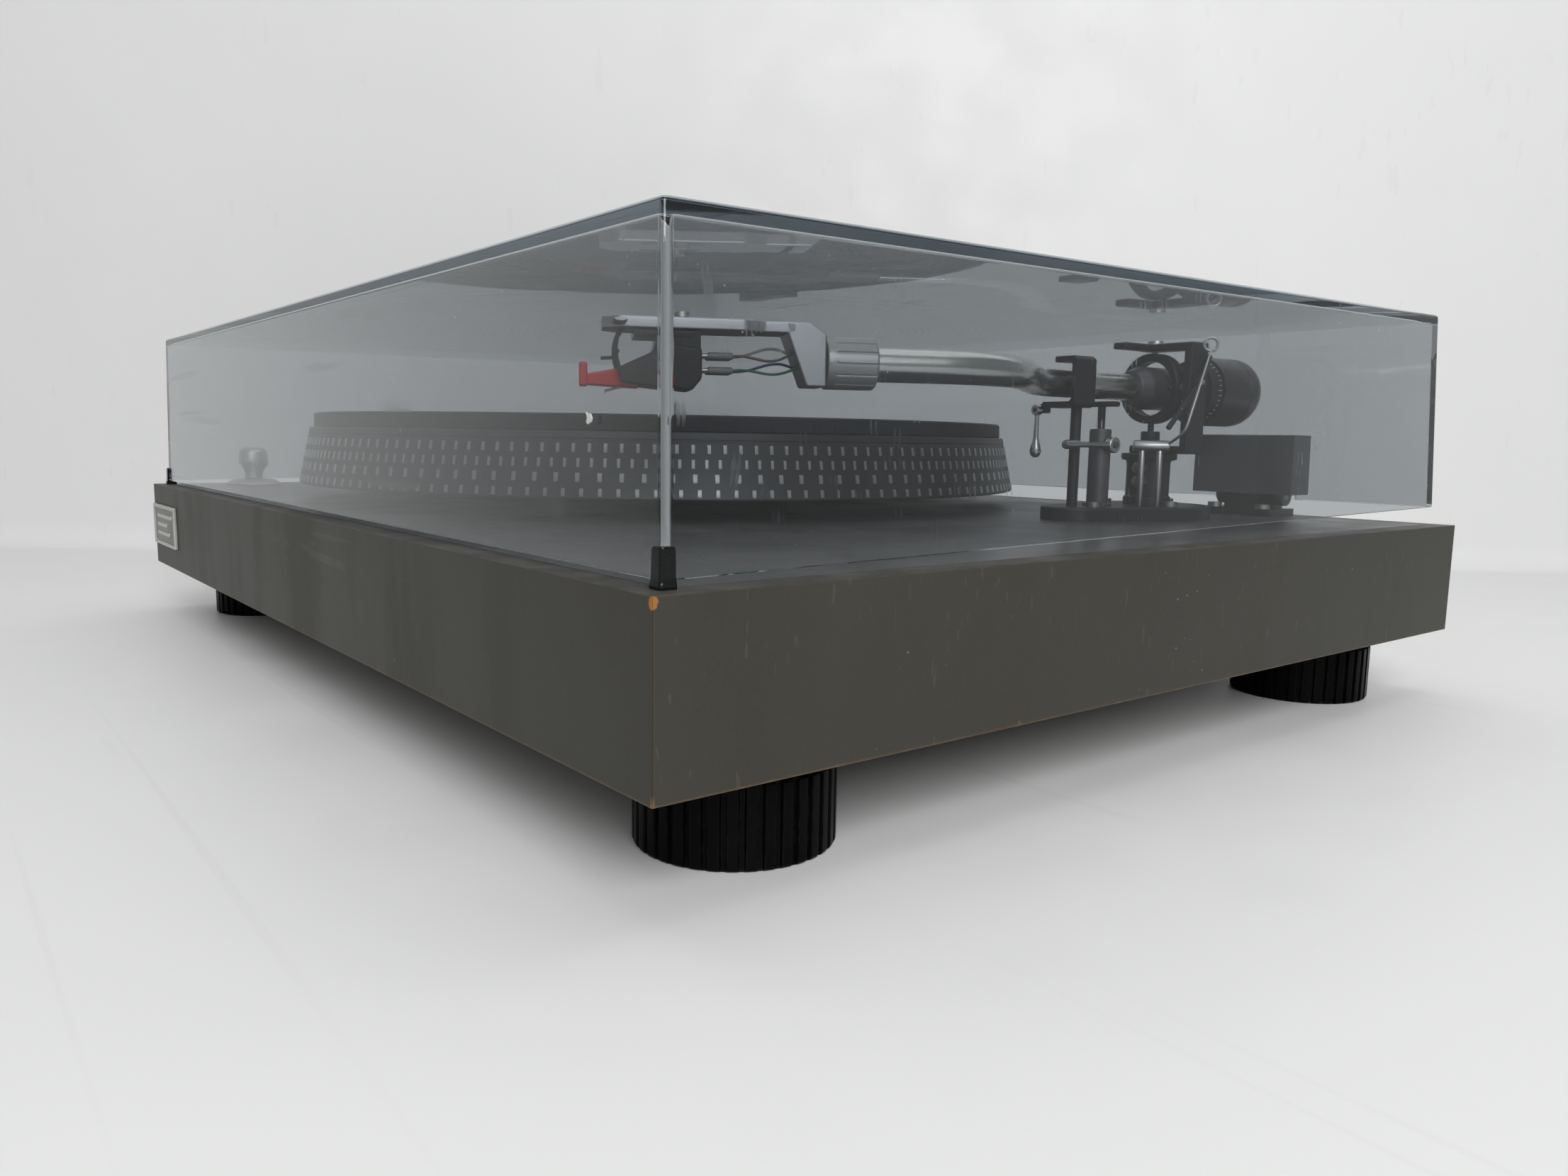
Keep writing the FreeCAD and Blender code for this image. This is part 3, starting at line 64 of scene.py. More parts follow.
class Shader:
    """Adds and joins nodes in one shader tree."""

    def __init__(self, tree: bpy.types.NodeTree) -> None:
        """Keeps the tree and empties it.

        Args:
            tree: the material's or group's node tree.
        """
        self.tree = tree
        tree.nodes.clear()

    def node(self, kind: str, **sockets: object) -> bpy.types.Node:
        """Adds a node and sets its sockets; a socket given another node's output is linked.

        Args:
            kind: the node's type, without the ShaderNode prefix.
            **sockets: properties, or input names with underscores for spaces.

        Returns:
            The new node.
        """
        made = self.tree.nodes.new("ShaderNode" + kind)
        for key, value in sockets.items():
            if hasattr(made, key) and not isinstance(value, bpy.types.NodeSocket):
                setattr(made, key, value)
                continue
            socket = made.inputs[int(key[1:])] if key[1:].isdigit() else made.inputs[key.replace("_", " ")]
            self.put(socket, value)
        return made

    def put(self, socket: bpy.types.NodeSocket, value: object) -> None:
        """Links or sets one input."""
        if isinstance(value, bpy.types.NodeSocket):
            self.tree.links.new(value, socket)
        elif isinstance(value, tuple) and socket.type == "RGBA" and len(value) == 3:
            socket.default_value = (*value, 1.0)
        else:
            socket.default_value = value

    def math(self, operation: str, first: object, second: object = 0.0, clamp: bool = False) -> object:
        """One Math node's result."""
        made = self.node("Math", operation=operation, use_clamp=clamp)
        self.put(made.inputs[0], first)
        self.put(made.inputs[1], second)
        return made.outputs[0]

    def spread(self, value: object, low: float, high: float, out_low: float = 0.0,
               out_high: float = 1.0) -> object:
        """A value mapped smoothly from one range to another."""
        made = self.node("MapRange", interpolation_type="SMOOTHSTEP")
        for index, item in enumerate((value, low, high, out_low, out_high)):
            self.put(made.inputs[index], item)
        return made.outputs[0]

    def mix(self, factor: object, first: object, second: object) -> object:
        """Two colours mixed by a factor."""
        made = self.node("Mix", data_type="RGBA")
        self.put(made.inputs[0], factor)
        self.put(made.inputs[6], first)
        self.put(made.inputs[7], second)
        return made.outputs[2]

    def noise(self, where: object, scale: float, detail: float = 3.0, rough: float = 0.55) -> object:
        """A noise texture's value."""
        made = self.node("TexNoise", Vector=where, Scale=scale, Detail=detail, Roughness=rough)
        return made.outputs[0]

    def bump(self, height: object, distance: float, strength: float = 1.0) -> object:
        """A normal bent by a height."""
        made = self.node("Bump", Height=height, Distance=distance, Strength=strength)
        return made.outputs[0]

    def place(self) -> object:
        """The piece's own coordinates, in metres."""
        return self.node("TexCoord").outputs["Object"]

    def stretched(self, where: object, scale: tuple[float, float, float], turn: float = 0.0) -> object:
        """Coordinates scaled unevenly, after a turn about Z."""
        made = self.node("Mapping", vector_type="POINT")
        made.inputs["Rotation"].default_value = (0.0, 0.0, turn)
        made.inputs["Scale"].default_value = scale
        self.put(made.inputs["Vector"], where)
        return made.outputs[0]


class Effects:
    """Shader groups that several finishes share, each built once."""

    _made: dict[str, bpy.types.NodeTree] = {}

    @classmethod
    def start(cls, name: str, inputs: dict[str, float], outputs: list[str]) -> tuple[Shader, object, object]:
        """A new group with named number inputs and number outputs.

        Args:
            name: the group's name.
            inputs: each input and its default.
            outputs: the outputs' names.

        Returns:
            The shader builder, the input node and the output node.
        """
        group = bpy.data.node_groups.new(name, "ShaderNodeTree")
        for key, value in inputs.items():
            made = group.interface.new_socket(key, in_out="INPUT", socket_type="NodeSocketFloat")
            made.default_value = value
        for key in outputs:
            group.interface.new_socket(key, in_out="OUTPUT", socket_type="NodeSocketFloat")
        shader = Shader(group)
        source = group.nodes.new("NodeGroupInput")
        sink = group.nodes.new("NodeGroupOutput")
        cls._made[name] = group
        return shader, source, sink

    @classmethod
    def use(cls, shader: Shader, name: str, **values: float) -> bpy.types.Node:
        """Places one of the groups in a material with its own values."""
        if name not in cls._made:
            getattr(cls, "_" + name)()
        made = shader.tree.nodes.new("ShaderNodeGroup")
        made.node_tree = cls._made[name]
        for key, value in values.items():
            made.inputs[key].default_value = value
        return made

    @classmethod
    def _edge_wear(cls) -> None:
        """Mask of rubbed edges, broken up by noise."""
        shader, source, sink = cls.start("edge_wear", {"Width": 0.0006, "Amount": 0.5, "Scale": 300.0},
                                         ["Mask"])
        bevel = shader.node("Bevel", samples=4, Radius=source.outputs["Width"])
        geometry = shader.node("NewGeometry")
        turn = shader.node("VectorMath", operation="DOT_PRODUCT")
        shader.put(turn.inputs[0], bevel.outputs[0])
        shader.put(turn.inputs[1], geometry.outputs["Normal"])
        edge = shader.spread(turn.outputs["Value"], 0.995, 0.86)
        grit = shader.node("TexNoise", Vector=shader.place(), Scale=source.outputs["Scale"], Detail=4.0)
        limit = shader.math("SUBTRACT", 0.92, shader.math("MULTIPLY", source.outputs["Amount"], 0.6))
        sum_up = shader.math("ADD", shader.math("MULTIPLY", edge, 0.5),
                             shader.math("MULTIPLY", grit.outputs[0], 0.8))
        over = shader.math("SUBTRACT", sum_up, limit)
        shader.put(sink.inputs["Mask"], shader.spread(over, 0.0, 0.06))

    @classmethod
    def _grain(cls) -> None:
        """Fine moulded or pressed grain: height, and slow patches for colour."""
        shader, source, sink = cls.start("grain", {"Scale": 2500.0, "Patch": 14.0}, ["Height", "Patches"])
        where = shader.place()
        fine = shader.node("TexNoise", Vector=where, Scale=source.outputs["Scale"], Detail=2.0)
        cells = shader.node("TexVoronoi", Vector=where, Scale=source.outputs["Scale"])
        height = shader.math("ADD", shader.math("MULTIPLY", fine.outputs[0], 0.7),
                             shader.math("MULTIPLY", cells.outputs[0], 0.3))
        slow = shader.node("TexNoise", Vector=where, Scale=source.outputs["Patch"], Detail=4.0, Roughness=0.6)
        shader.put(sink.inputs["Height"], height)
        shader.put(sink.inputs["Patches"], shader.spread(slow.outputs[0], 0.3, 0.7))

    @classmethod
    def _dust(cls) -> None:
        """Mask of dust that settles on surfaces facing up, with a few specks anywhere."""
        shader, source, sink = cls.start("dust", {"Amount": 0.3, "Specks": 0.3}, ["Mask"])
        geometry = shader.node("NewGeometry")
        parts = shader.node("SeparateXYZ")
        shader.put(parts.inputs[0], geometry.outputs["Normal"])
        where = shader.place()
        film = shader.spread(shader.noise(where, 60.0, 6.0, 0.7), 0.35, 0.75)
        upward = shader.spread(parts.outputs["Z"], 0.2, 0.95)
        layer = shader.math("MULTIPLY", shader.math("MULTIPLY", film, upward), source.outputs["Amount"])
        cells = shader.node("TexVoronoi", Vector=where, Scale=260.0, Randomness=1.0)
        speck = shader.spread(cells.outputs[0], 0.09, 0.04)
        rare = shader.spread(shader.noise(where, 35.0, 2.0), 0.56, 0.66)
        specks = shader.math("MULTIPLY", shader.math("MULTIPLY", speck, rare), source.outputs["Specks"])
        shader.put(sink.inputs["Mask"], shader.math("ADD", layer, specks, True))

    @classmethod
    def _scratches(cls) -> None:
        """Mask of hair-fine scratches in three directions."""
        shader, source, sink = cls.start("scratches", {"Amount": 0.5, "Scale": 1.0}, ["Mask"])
        where = shader.node("VectorMath", operation="SCALE")
        shader.put(where.inputs[0], shader.place())
        shader.put(where.inputs["Scale"], source.outputs["Scale"])
        total = None
        for turn, width in ((0.5, 900.0), (1.9, 1200.0), (2.7, 700.0)):
            lines = shader.noise(shader.stretched(where.outputs[0], (9.0, width, width * 0.2), turn), 1.0,
                                 1.0)
            thin = shader.spread(lines, 0.70, 0.74)
            gaps = shader.spread(shader.noise(where.outputs[0], 22.0 * turn, 2.0), 0.5, 0.62)
            one = shader.math("MULTIPLY", thin, gaps)
            total = one if total is None else shader.math("MAXIMUM", total, one)
        shader.put(sink.inputs["Mask"], shader.math("MULTIPLY", total, source.outputs["Amount"], True))


@dataclass(frozen=True)
class Finish:
    """A painted, moulded, rubber or metal surface.

    Args:
        name: the material's name.
        colour: the main colour.
        other: the colour it drifts to in patches.
        rough: roughness in the middle of its range.
        metal: metallic weight.
        grain: how many grains to a metre.
        depth: how deep the grain is, in metres.
        wear: how much of its edges is rubbed.
        worn: the colour under the rubbed edges.
        dust: how much dust lies on it.
        coat: clear coat weight.
        streak: how machining marks run.
        scratch: how scratched it is.
        gloss: how strongly it mirrors, 0.5 for common plastics.
    """

    name: str
    colour: Colour
    other: Colour
    rough: float = 0.4
    metal: float = 0.0
    grain: float = 2500.0
    depth: float = 0.00001
    wear: float = 0.0
    worn: Colour = (0.3, 0.3, 0.3)
    dust: float = 0.1
    coat: float = 0.0
    streak: Streak = Streak.NONE
    scratch: float = 0.0
    gloss: float = 0.5

    def build(self) -> bpy.types.Material:
        """The finish as a node material, made once.

        Returns:
            The material.
        """
        known = bpy.data.materials.get(self.name)
        if known:
            return known
        material = bpy.data.materials.new(self.name)
        material.use_nodes = True
        shader = Shader(material.node_tree)
        grain = Effects.use(shader, "grain", Scale=self.grain, Patch=24.0)
        colour = shader.mix(grain.outputs["Patches"], self.colour, self.other)
        rough = shader.spread(grain.outputs["Patches"], 0.0, 1.0, self.rough * 0.85, self.rough * 1.2)
        height = grain.outputs["Height"]
        if self.streak is not Streak.NONE:
            height = self._marks(shader)
            rough = shader.math("ADD", rough, shader.math("MULTIPLY", height, 0.10))
        if self.wear:
            worn = Effects.use(shader, "edge_wear", Width=0.0005, Amount=self.wear).outputs["Mask"]
            colour = shader.mix(worn, colour, self.worn)
        if self.scratch:
            lines = Effects.use(shader, "scratches", Amount=self.scratch).outputs["Mask"]
            rough = shader.math("ADD", rough, shader.math("MULTIPLY", lines, 0.25))
            colour = shader.mix(shader.math("MULTIPLY", lines, 0.35), colour, self.worn)
        dust = Effects.use(shader, "dust", Amount=self.dust, Specks=self.dust).outputs["Mask"]
        colour = shader.mix(dust, colour, (0.42, 0.40, 0.37))
        rough = shader.math("ADD", rough, shader.math("MULTIPLY", dust, 0.4), True)
        surface = shader.node("BsdfPrincipled", Base_Color=colour, Roughness=rough, Metallic=self.metal,
                              Coat_Weight=self.coat, Normal=shader.bump(height, self.depth))
        surface.inputs["Specular IOR Level"].default_value = self.gloss
        shader.node("OutputMaterial", Surface=surface.outputs[0])
        return material

    def _marks(self, shader: Shader) -> object:
        """Brushed lines along the piece's own X, or rings turned round its own Z."""
        where = shader.node("Attribute", attribute_name="local").outputs["Vector"]
        if self.streak is Streak.BRUSHED:
            return shader.noise(shader.stretched(where, (60.0, 4000.0, 4000.0)), 1.0, 3.0)
        parts = shader.node("SeparateXYZ")
        shader.put(parts.inputs[0], where)
        rings = shader.node("CombineXYZ")
        span = shader.node("VectorMath", operation="LENGTH")
        shader.put(span.inputs[0], shader.stretched(where, (1.0, 1.0, 0.0)))
        shader.put(rings.inputs["X"], shader.math("MULTIPLY", span.outputs["Value"], 3000.0))
        shader.put(rings.inputs["Y"], shader.math("MULTIPLY", parts.outputs["Z"], 3000.0))
        return shader.noise(rings.outputs[0], 1.0, 2.0)


@dataclass(frozen=True)
class Vinyl:
    """Dark vinyl wrapped on chipboard: fine grain, smudges, and edges rubbed through to the board."""

    name: str = "vinyl_wrap"
    colour: Colour = (0.035, 0.033, 0.026)
    smudge: Colour = (0.050, 0.048, 0.038)
    glue: Colour = (0.24, 0.13, 0.055)
    chip: Colour = (0.30, 0.13, 0.03)
    chip_at: tuple[float, float, float] = (0.2405, -0.1780, 0.0632)
    low_edge: float = 0.0245

    def build(self) -> bpy.types.Material:
        """The finish as a node material."""
        material = bpy.data.materials.new(self.name)
        material.use_nodes = True
        shader = Shader(material.node_tree)
        where = shader.place()
        grain = Effects.use(shader, "grain", Scale=1900.0, Patch=9.0)
        rubbed = shader.noise(shader.stretched(where, (9.0, 9.0, 2.5)), 2.4, 5.0, 0.65)
        patch = shader.math("MULTIPLY", shader.spread(rubbed, 0.35, 0.75), 0.6)
        colour = shader.mix(patch, self.colour, self.smudge)
        flecks = shader.node("TexVoronoi", Vector=where, Scale=1500.0)
        colour = shader.mix(shader.math("MULTIPLY", flecks.outputs[0], 0.5), colour, (0.045, 0.044, 0.038))
        marks = Effects.use(shader, "scratches", Amount=0.5, Scale=0.7).outputs["Mask"]
        colour = shader.mix(shader.math("MULTIPLY", marks, 0.30), colour, (0.16, 0.155, 0.14))
        edge = Effects.use(shader, "edge_wear", Width=0.0009, Amount=0.62, Scale=170.0).outputs["Mask"]
        parts = shader.node("SeparateXYZ")
        shader.put(parts.inputs[0], where)
        low = shader.spread(parts.outputs["Z"], self.low_edge + 0.0030, self.low_edge + 0.0006)
        worn = shader.math("MULTIPLY", edge, shader.math("MAXIMUM", low, 0.06))
        colour = shader.mix(worn, colour, self.glue)
        away = shader.node("VectorMath", operation="DISTANCE")
        shader.put(away.inputs[0], where)
        away.inputs[1].default_value = self.chip_at
        ragged = shader.math("MULTIPLY", shader.noise(where, 900.0, 2.0), 0.0016)
        spot = shader.spread(shader.math("ADD", away.outputs["Value"], ragged), 0.0023, 0.0019)
        colour = shader.mix(spot, colour, self.chip)
        dust = Effects.use(shader, "dust", Amount=0.14, Specks=0.45).outputs["Mask"]
        colour = shader.mix(dust, colour, (0.45, 0.43, 0.39))
        rough = shader.spread(patch, 0.0, 0.6, 0.44, 0.56)
        surface = shader.node("BsdfPrincipled", Base_Color=colour, Roughness=rough,
                              Normal=shader.bump(grain.outputs["Height"], 0.00004, 0.8))
        surface.inputs["Specular IOR Level"].default_value = 0.22
        shader.node("OutputMaterial", Surface=surface.outputs[0])
        return material


@dataclass(frozen=True)
class Acrylic:
    """Smoked acrylic: clear and glossy, darker the more of it light crosses, with hairlines and dust."""

    name: str = "smoked_acrylic"
    tint: Colour = (0.62, 0.64, 0.66)
    absorb: Colour = (0.25, 0.35, 0.44)
    density: float = 9.0
    shadow: Colour = (0.74, 0.76, 0.77)

    def build(self) -> bpy.types.Material:
        """The finish as a node material."""
        material = bpy.data.materials.new(self.name)
        material.use_nodes = True
        shader = Shader(material.node_tree)
        lines = Effects.use(shader, "scratches", Amount=0.8, Scale=0.6).outputs["Mask"]
        dust = Effects.use(shader, "dust", Amount=0.10, Specks=0.9).outputs["Mask"]
        colour = shader.mix(dust, self.tint, (0.93, 0.93, 0.91))
        film = shader.spread(shader.noise(shader.place(), 14.0, 5.0, 0.65), 0.35, 0.8, 0.0, 0.035)
        rough = shader.math("ADD", film, shader.math("MULTIPLY", lines, 0.20))
        rough = shader.math("ADD", rough, shader.math("MULTIPLY", dust, 0.5), True)
        wave = shader.noise(shader.place(), 26.0, 1.0)
        surface = shader.node("BsdfPrincipled", Base_Color=colour, Roughness=rough,
                              Normal=shader.bump(wave, 0.00008, 0.5))
        surface.inputs["Transmission Weight"].default_value = 1.0
        surface.inputs["IOR"].default_value = 1.49
        through = shader.node("BsdfTransparent")
        through.inputs[0].default_value = (*self.shadow, 1.0)
        path = shader.node("LightPath")
        soft = shader.node("MixShader")
        trapped = shader.math("GREATER_THAN", path.outputs["Ray Depth"], 3.0)
        unseen = shader.math("MAXIMUM", path.outputs["Is Shadow Ray"], path.outputs["Is Diffuse Ray"])
        shader.put(soft.inputs[0], shader.math("MAXIMUM", unseen, trapped))
        shader.put(soft.inputs[1], surface.outputs[0])
        shader.put(soft.inputs[2], through.outputs[0])
        smoke = shader.node("VolumeAbsorption")
        smoke.inputs["Color"].default_value = (*self.absorb, 1.0)
        smoke.inputs["Density"].default_value = self.density
        shader.node("OutputMaterial", Surface=soft.outputs[0], Volume=smoke.outputs[0])
        return material


@dataclass(frozen=True)
class Fibreboard:
    """Bare chipboard or hardboard: pressed flakes."""

    name: str = "pressed_wood"
    dark: Colour = (0.17, 0.10, 0.05)
    light: Colour = (0.42, 0.29, 0.16)

    def build(self) -> bpy.types.Material:
        """The finish as a node material."""
        material = bpy.data.materials.new(self.name)
        material.use_nodes = True
        shader = Shader(material.node_tree)
        where = shader.place()
        flakes = shader.node("TexVoronoi", Vector=shader.stretched(where, (260.0, 420.0, 420.0), 0.4),
                             Scale=1.0)
        fibres = shader.noise(shader.stretched(where, (900.0, 220.0, 500.0), 0.9), 1.0, 4.0)
        value = shader.math("ADD", shader.math("MULTIPLY", flakes.outputs[0], 0.45),
                            shader.math("MULTIPLY", fibres, 0.55))
        colour = shader.mix(shader.spread(value, 0.25, 0.75), self.dark, self.light)
        dust = Effects.use(shader, "dust", Amount=0.15, Specks=0.3).outputs["Mask"]
        colour = shader.mix(dust, colour, (0.45, 0.42, 0.37))
        surface = shader.node("BsdfPrincipled", Base_Color=colour, Roughness=0.82,
                              Normal=shader.bump(value, 0.00008))
        shader.node("OutputMaterial", Surface=surface.outputs[0])
        return material


@dataclass(frozen=True)
class Finishes:
    """Every finish the turntable uses."""

    vinyl: Vinyl = Vinyl()
    acrylic: Acrylic = Acrylic()
    wood: Fibreboard = Fibreboard()
    hardboard: Fibreboard = Fibreboard("dark_hardboard", (0.018, 0.014, 0.011), (0.040, 0.031, 0.024))
    deck: Finish = Finish("deck_paint", (0.050, 0.050, 0.053), (0.062, 0.062, 0.065), 0.36, grain=2400.0,
                          depth=0.00003, dust=0.10, scratch=0.25, worn=(0.10, 0.10, 0.10))
    foot: Finish = Finish("foot_plastic", (0.0018, 0.0018, 0.0020), (0.0026, 0.0026, 0.0028), 0.30,
                          grain=900.0,
                          depth=0.00003, dust=0.01, wear=0.10, worn=(0.012, 0.012, 0.013), gloss=0.04)
    black: Finish = Finish("black_plastic", (0.010, 0.010, 0.012), (0.016, 0.016, 0.018), 0.33, dust=0.12,
                           depth=0.00002, wear=0.2, worn=(0.07, 0.07, 0.07))
    arm_black: Finish = Finish("arm_black", (0.012, 0.013, 0.015), (0.020, 0.021, 0.023), 0.32, metal=0.2,
                               depth=0.00002, dust=0.15, wear=0.35, worn=(0.30, 0.29, 0.28))
    weight: Finish = Finish("weight_lacquer", (0.010, 0.010, 0.013), (0.016, 0.016, 0.020), 0.30, dust=0.15,
                            depth=0.00001, coat=0.35, wear=0.25, worn=(0.25, 0.25, 0.25))
    casting: Finish = Finish("platter_metal", (0.42, 0.42, 0.42), (0.50, 0.50, 0.49), 0.34, metal=1.0,
                             depth=0.00001, streak=Streak.TURNED)
    band: Finish = Finish("platter_band", (0.050, 0.051, 0.055), (0.066, 0.067, 0.072), 0.38, metal=0.3,
                          depth=0.00002, streak=Streak.TURNED, dust=0.12)
    dots: Finish = Finish("bright_dots", (0.46, 0.46, 0.45), (0.40, 0.40, 0.39), 0.35, metal=0.7,
                          depth=0.000004, dust=0.05)
    mat: Finish = Finish("mat_rubber", (0.016, 0.016, 0.017), (0.024, 0.024, 0.025), 0.72, grain=1400.0,
                         depth=0.00006, dust=0.10)
    belt: Finish = Finish("belt_rubber", (0.014, 0.013, 0.013), (0.020, 0.019, 0.018), 0.6, dust=0.2)
    polished: Finish = Finish("polished_tube", (0.72, 0.71, 0.68), (0.64, 0.63, 0.60), 0.19, metal=1.0,
                              depth=0.000003, streak=Streak.BRUSHED, dust=0.08, scratch=0.2)
    steel: Finish = Finish("turned_steel", (0.56, 0.56, 0.55), (0.64, 0.63, 0.61), 0.26, metal=1.0,
                           depth=0.000006, streak=Streak.TURNED, dust=0.10)
    screws: Finish = Finish("screw_steel", (0.42, 0.42, 0.42), (0.52, 0.51, 0.49), 0.32, metal=1.0, dust=0.15)
    satin: Finish = Finish("satin_alloy", (0.15, 0.15, 0.155), (0.19, 0.19, 0.195), 0.45, metal=0.7,
                           grain=4200.0, depth=0.00002, dust=0.10, wear=0.25, worn=(0.62, 0.61, 0.58))
    gunmetal: Finish = Finish("gunmetal", (0.10, 0.10, 0.105), (0.14, 0.14, 0.145), 0.36, metal=0.6,
                              grain=3000.0, depth=0.00001, dust=0.12)
    collar: Finish = Finish("collar_grey", (0.37, 0.37, 0.37), (0.43, 0.43, 0.43), 0.44, metal=0.35,
                            grain=3000.0, depth=0.00001, dust=0.12, wear=0.3, worn=(0.42, 0.41, 0.39))
    bronze: Finish = Finish("bush_bronze", (0.50, 0.33, 0.16), (0.42, 0.27, 0.13), 0.38, metal=1.0)
    zinc: Finish = Finish("zinc_steel", (0.46, 0.46, 0.44), (0.38, 0.38, 0.36), 0.42, metal=1.0, dust=0.2)
    motor: Finish = Finish("motor_can", (0.30, 0.30, 0.30), (0.38, 0.37, 0.36), 0.45, metal=1.0, dust=0.15)
    circuit: Finish = Finish("circuit_board", (0.10, 0.16, 0.05), (0.14, 0.20, 0.07), 0.42, dust=0.25)
    coil: Finish = Finish("transformer_iron", (0.10, 0.09, 0.08), (0.16, 0.13, 0.10), 0.5, metal=0.4,
                          dust=0.3)
    nickel: Finish = Finish("socket_nickel", (0.66, 0.62, 0.54), (0.58, 0.54, 0.47), 0.28, metal=1.0,
                            dust=0.1)
    red: Finish = Finish("stylus_red", (0.62, 0.010, 0.012), (0.72, 0.018, 0.018), 0.24, grain=1200.0,
                         depth=0.00001, dust=0.05)
    hinge: Finish = Finish("hinge_plastic", (0.075, 0.079, 0.085), (0.095, 0.099, 0.105), 0.38, depth=0.00002,
                           dust=0.15)
    badge: Finish = Finish("badge_alloy", (0.50, 0.49, 0.46), (0.58, 0.57, 0.54), 0.34, metal=0.9,
                           depth=0.000008, streak=Streak.BRUSHED, dust=0.1, wear=0.3, worn=(0.8, 0.79, 0.76))
    badge_field: Finish = Finish("badge_field", (0.20, 0.20, 0.19), (0.25, 0.25, 0.24), 0.36, metal=0.8,
                                 depth=0.000008, streak=Streak.BRUSHED, dust=0.1)
    ink: Finish = Finish("printed_ink", (0.62, 0.62, 0.60), (0.54, 0.54, 0.52), 0.5)
    bumper: Finish = Finish("bumper_soft", (0.004, 0.005, 0.005), (0.007, 0.008, 0.008), 0.16, depth=0.00002,
                            dust=0.01, gloss=0.25)
    sleeve: Finish = Finish("lead_sleeve", (0.13, 0.13, 0.13), (0.17, 0.17, 0.17), 0.45)
    lead_white: Finish = Finish("lead_white", (0.50, 0.49, 0.45), (0.42, 0.41, 0.38), 0.45)
    lead_blue: Finish = Finish("lead_blue", (0.020, 0.045, 0.11), (0.030, 0.060, 0.14), 0.45)
    lead_green: Finish = Finish("lead_green", (0.020, 0.11, 0.055), (0.030, 0.14, 0.07), 0.45)
    lead_red: Finish = Finish("lead_red", (0.06, 0.05, 0.05), (0.10, 0.06, 0.055), 0.45)


# ------------------------------------------------------------------ mesh building
def frame_matrix(origin: Vector, turn_deg: float) -> Matrix:
    """A frame at a point, in millimetres, turned about +Z."""
    return Matrix.Translation(origin) @ Matrix.Rotation(math.radians(turn_deg), 4, "Z")


